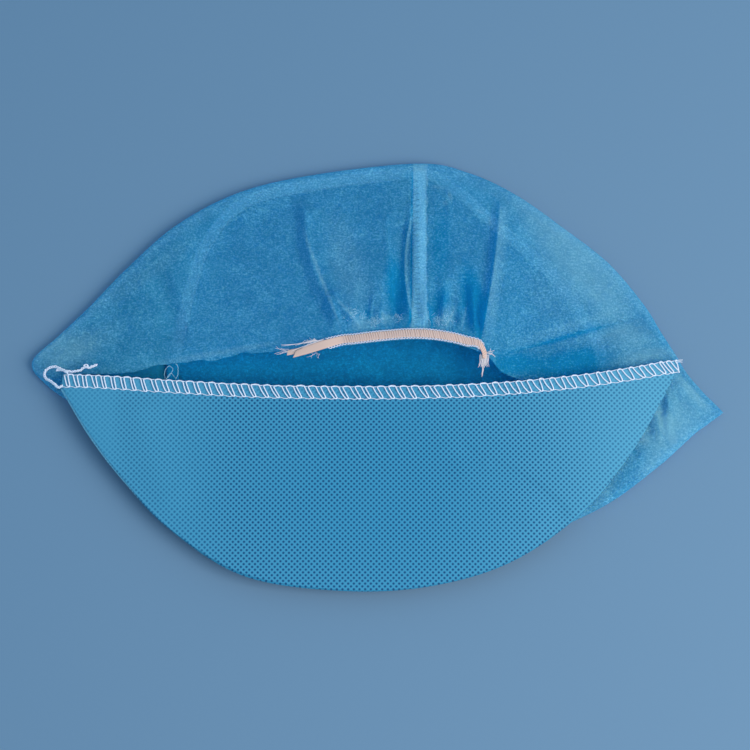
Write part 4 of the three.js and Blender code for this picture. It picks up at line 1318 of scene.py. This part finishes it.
def on_peak_seam(along, down, lift):
    """Point at a distance along the sewn edge and down from it over the upper ply, lifted off its face.
    Above the edge it bends over and down behind it."""
    x = np.interp(along, seam_gone, seam_line[:, 0])
    y = np.interp(along, seam_gone, seam_line[:, 1])
    lean = np.interp(along, seam_gone, np.gradient(seam_line[:, 1], seam_line[:, 0]))
    side = np.hypot(1, lean)
    x = x + lean / side * down
    y = y - down / side
    on = np.maximum(down, 0.0)
    z = peak_height(x, y - 0.02 - (on - down) / side, UPPER_TOP, 0.0)
    wrap = np.clip(-down, 0, WRAP_REACH)
    return np.stack([x, y, z + lift - wrap**2 * WRAP_DROP], -1)


def stitch_at(along, name):
    """The named column of the stitches' table at a distance along the sewn edge."""
    return np.interp(np.interp(along, seam_gone, seam_line[:, 0]), stitch["x"], stitch[name])


def serpentine():
    """Distances along and down, and the lift, at ten key points a unit of the crossing thread. It goes
    down a bar, round a small U, up a second bar, and over a round arch to the next unit."""
    starts = []
    start = FIRST_STITCH
    while start < seam_gone[-1] - LAST_STITCH:
        starts.append(start)
        start += stitch_at(start, "pitch")
    starts = np.array(starts)
    uneven = np.random.default_rng(21)

    def jitter(size):
        """One random amount for each unit, normally spread with this size."""
        return uneven.normal(0, size, len(starts))

    pitch = np.append(np.diff(starts), LAST_PITCH)
    down_lean = stitch_at(starts, "down_lean") + jitter(LEAN_JITTER)
    up_lean = stitch_at(starts, "up_lean") + jitter(LEAN_JITTER)
    gap = U_GAP + jitter(GAP_JITTER)
    bow = stitch_at(starts, "bow")
    foot = down_lean + gap
    head = foot - up_lean
    top = STITCH_TOP + jitter(TOP_JITTER)
    low = STITCH_BOTTOM + jitter(BOTTOM_JITTER)
    arch = pitch - head
    halfway = (top + low) / 2
    keys = [
        (0 * top, top, 0.02),
        (down_lean * 0.5 - bow * 0.5, halfway, 0.10),
        (down_lean, low - 0.35, 0.02),
        (down_lean + gap * 0.5, low, 0.0),
        (foot, low - 0.35, 0.06),
        ((foot + head) / 2 + bow * 0.3, halfway, 0.16),
        (head, top, 0.08),
        (head + arch * 0.2, top - 0.42, 0.05),
        (head + arch * 0.55, top - 0.6, 0.05),
        (head + arch * 0.88, top - 0.35, 0.05),
    ]
    units = np.array([[starts + along, down, lift + 0 * starts] for along, down, lift in keys])
    return units.transpose(2, 0, 1).reshape(-1, 3)


stitch_keys = serpentine()
fine_at = np.linspace(0, len(stitch_keys) - 1, len(stitch_keys) * 5)
cross_along, cross_down, cross_lift = curve_through(stitch_keys, fine_at, False).T
crossing = on_peak_seam(cross_along, cross_down, STITCH_HEIGHT + cross_lift)
edge_at = np.linspace(0.5, seam_gone[-1] - 0.3, 1400)
unit_starts = stitch_keys[::UNIT_KEYS, 0]
loops = math.tau * np.interp(edge_at, unit_starts, np.arange(len(unit_starts)))
top_thread = on_peak_seam(edge_at, 0.05 + 0.10 * np.sin(loops + 1.0), STITCH_HEIGHT - 0.02)
low_thread = on_peak_seam(edge_at, 5.15 + 0.22 * np.cos(loops - 2.2), STITCH_HEIGHT - 0.08)
overlock_parts = [
    tubes(crossing[None], THREAD_RADIUS, sides=THREAD_SIDES),
    tubes(top_thread[None], EDGE_THREAD_RADIUS, sides=5),
    tubes(low_thread[None], EDGE_THREAD_RADIUS, sides=5),
]
overlock = new_piece("peak_overlock_thread", *joined(overlock_parts), white_thread)
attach(overlock, "root")

# ---------------------------------------------------------------- loose threads
# The overlock's chain runs off the left end of the seam, loops round and lies back over the band
# with a small knot in it, and two short cut ends stick out at the right end. Three finer, bluer loops
# of pulled fibre cross the opening's left end.

TAIL = (
    (-129.6, -8.4, 11.0), (-131.4, -8.9, 10.9), (-133.0, -7.6, 10.8), (-134.6, -6.4, 10.0),
    (-137.0, -4.6, 9.0), (-137.9, -2.6, 8.6), (-136.8, -0.6, 8.6), (-134.2, 0.4, 9.0),
    (-131.5, -0.4, 9.6), (-129.4, -1.8, 10.4), (-127.6, -2.9, 11.2),
)
CHAIN = (
    (-133.0, -1.0, 9.0), (-130.4, -1.2, 9.6), (-127.0, -1.9, 9.8), (-123.4, -1.4, 9.4),
    (-120.9, 0.2, 9.2), (-119.4, -0.2, 9.2), (-117.8, 0.6, 9.0), (-116.2, 1.2, 8.9),
)
CHAIN_RADIUS = 0.26
KNOT_MIDDLE = (-120.6, 0.6, 9.3)
KNOT_REACH = (0.75, 0.6, 0.45)
KNOT_TURNS = 5
KNOT_RADIUS = 0.22
TUFT = (
    ((123.9, 2.2, 10.2), (125.4, 2.9, 10.0), (127.2, 3.1, 9.6)),
    ((123.9, 1.8, 10.2), (125.6, 2.2, 10.1), (127.0, 2.1, 9.8)),
)
TUFT_RADIUS = 0.16
MOUTH_LOOPS = (
    (
        (-87.4, -5.0, 10.6), (-88.0, -3.0, 9.0), (-87.6, -0.6, 8.4), (-86.2, 0.9, 8.2),
        (-84.6, -0.6, 8.6), (-85.6, -3.4, 9.6), (-86.9, -5.4, 11.2),
    ),
    ((-83.0, -5.4, 11.0), (-82.4, -3.0, 9.2), (-82.6, 0.6, 8.2), (-83.4, 1.8, 8.4)),
    ((-86.9, -5.2, 10.9), (-85.4, -2.4, 9.0), (-84.0, -3.8, 9.4), (-82.8, -5.2, 10.8)),
)
MOUTH_LOOP_RADIUS = 0.08
PULLED_BLUE = (0.34, 0.66, 0.82, 1.0)


def through(keys, count, wobble, seed):
    """A smooth path through key points, with the waver of three sine waves of seeded phase added."""
    keys = np.array(keys, float)
    path = curve_through(keys, np.linspace(0, len(keys) - 1, count), False)
    waver = np.random.default_rng(seed)
    at = np.linspace(0, 1, count)[:, None]
    for turns in (7, 13, 23):
        path = path + wobble * np.sin(at * turns * math.tau + waver.uniform(0, 6.28, 3)) / 3
    return path


def chained(keys, count, width, turns, seed):
    """Two threads that wind round one path at half the width from it, like a crocheted chain."""
    path = through(keys, count, 0.15, seed)
    aside = np.cross(unit(np.gradient(path, axis=0)), [0, 0, 1.0])
    angle = np.linspace(0, turns * math.tau, count)[:, None]
    swing = width / 2 * (np.cos(angle) * aside + 0.5 * np.sin(angle) * [0, 0, 1.0])
    return np.stack([path + swing, path - swing])


# the knot's thread winds round its middle, at another pace in height
knot_angle = np.linspace(0, KNOT_TURNS * math.tau, 60)
knot_x = np.cos(knot_angle) * (1 + 0.2 * np.sin(knot_angle * 1.7))
knot_swing = np.stack([knot_x, np.sin(knot_angle), np.sin(knot_angle * 1.31)], 1)
knot = np.array(KNOT_MIDDLE) + np.array(KNOT_REACH) * knot_swing
loose = [
    tubes(chained(TAIL, count=150, width=0.75, turns=13, seed=31), CHAIN_RADIUS, sides=6),
    tubes(chained(CHAIN, count=120, width=0.65, turns=11, seed=32), CHAIN_RADIUS, sides=6),
    tubes(knot[None], KNOT_RADIUS, sides=6),
]
loose += [
    tubes(through(keys, count=20, wobble=0.1, seed=50 + i)[None], TUFT_RADIUS, sides=5)
    for i, keys in enumerate(TUFT)
]
loose_threads = new_piece("loose_threads", *joined(loose), white_thread)
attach(loose_threads, "root")

pulled_fibre = plain_finish("pulled_fibre", PULLED_BLUE, roughness=0.8, specular=0.2)
mouth = [
    tubes(through(keys, count=40, wobble=0.15, seed=40 + i)[None], MOUTH_LOOP_RADIUS, sides=5)
    for i, keys in enumerate(MOUTH_LOOPS)
]
mouth_loops = new_piece("mouth_loops", *joined(mouth), pulled_fibre)
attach(mouth_loops, "root")

# ---------------------------------------------------------------- frayed fibres
# Fine fibres pulled out of the cut cloth and of the elastic's ends: thin curls that lie on the cloth,
# a few long strands at the left tip, and a bundle with a tuft beside it at the right end.

# Each row: x, y, z, spread in x and in y, heading, fan, count, length, radius, rise. Where z is 0 the
# fibres lie on the band.
FLUFF_ROWS = {
    "left_strands": (-22.5, 10.6, 15.2, 3.0, 0.6, 198, 3, 7, 14.0, 0.10, 0.2),
    "left_curls": (-26, 9.8, 14.9, 4.5, 0.9, 195, 40, 14, 2.6, 0.07, 0.3),
    "left_under": (-24.6, 4.6, 13.4, 2.6, 0.5, 200, 60, 12, 2.0, 0.05, 0.2),
    "left_tip": (-36.0, 6.2, 13.4, 1.0, 0.8, 180, 10, 7, 5.5, 0.08, 0.1),
    "right_bundle": (44.6, 4.8, 12.9, 1.6, 0.6, 264, 4, 70, 4.6, 0.11, -0.5),
    "right_tail": (44.4, 1.0, 11.0, 0.3, 0.5, 262, 3, 6, 4.6, 0.10, -0.3),
    "right_tuft": (45.6, 5.4, 13.2, 0.5, 0.5, -8, 18, 12, 3.2, 0.10, 0.2),
}
RIM_FUZZ_ROWS = {
    "rim_left": (-9, 20.0, 0, 5.0, 2.2, 90, 90, 70, 2.0, 0.030, 0.2),
    "rim_middle": (0, 18.0, 0, 3.2, 2.4, 90, 90, 60, 2.0, 0.030, 0.2),
    "rim_seam": (9, 20.0, 0, 2.2, 2.4, 90, 90, 30, 2.0, 0.030, 0.2),
    "rim_right": (27, 18.5, 0, 5.6, 3.0, 90, 90, 80, 2.0, 0.030, 0.2),
}
FLUFF_POINTS = 9
FUZZ_LIFT = 0.08
FRAYED_WHITE = (0.62, 0.62, 0.68, 1.0)


def curls(x, y, z, spread_x, spread_y, heading, fan, count, length, radius, rise, seed):
    """Fibres that start about (x, y), each a curve whose heading turns steadily, in a small arch of the
    given rise. Where the rise is negative they also sink, by four times that at their ends."""
    scatter = np.random.default_rng(seed)
    start_x = x + scatter.normal(0, 1, count) * spread_x / 2
    start_y = y + scatter.normal(0, 1, count) * spread_y / 2
    if z == 0:
        start_z = cloth_over[np.argmin(away_from_cloth(start_x, start_y), axis=1), 2] + FUZZ_LIFT
    else:
        start_z = np.full(count, z) + scatter.normal(0, 0.15, count)
    steps = np.linspace(0, 1, FLUFF_POINTS)[None]
    turn = np.radians(heading + scatter.uniform(-fan, fan, count))[:, None]
    turn = turn + scatter.normal(0, 1.2, count)[:, None] * steps * min(1.0, fan / 20)
    reach = length * scatter.uniform(0.5, 1.1, count)[:, None] / (FLUFF_POINTS - 1)
    path_x = start_x[:, None] + np.cumsum(np.cos(turn) * reach, 1)
    path_y = start_y[:, None] + np.cumsum(np.sin(turn) * reach, 1)
    path_z = start_z[:, None] + rise * np.sin(math.pi * steps) * scatter.uniform(0.3, 1, count)[:, None]
    path_z += min(rise, 0.0) * steps * 4
    return tubes(np.stack([path_x, path_y, path_z], -1), radius, sides=4)


frayed_thread = plain_finish("frayed_thread", FRAYED_WHITE, roughness=0.8, specular=0.2)
for name, rows, material in (
    ("frayed_elastic", FLUFF_ROWS, frayed_thread),
    ("rim_fuzz", RIM_FUZZ_ROWS, pulled_fibre),
):
    fibres = [curls(*row, seed=70 + i) for i, row in enumerate(rows.values())]
    piece = new_piece(name, *joined(fibres), material)
    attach(piece, "root")
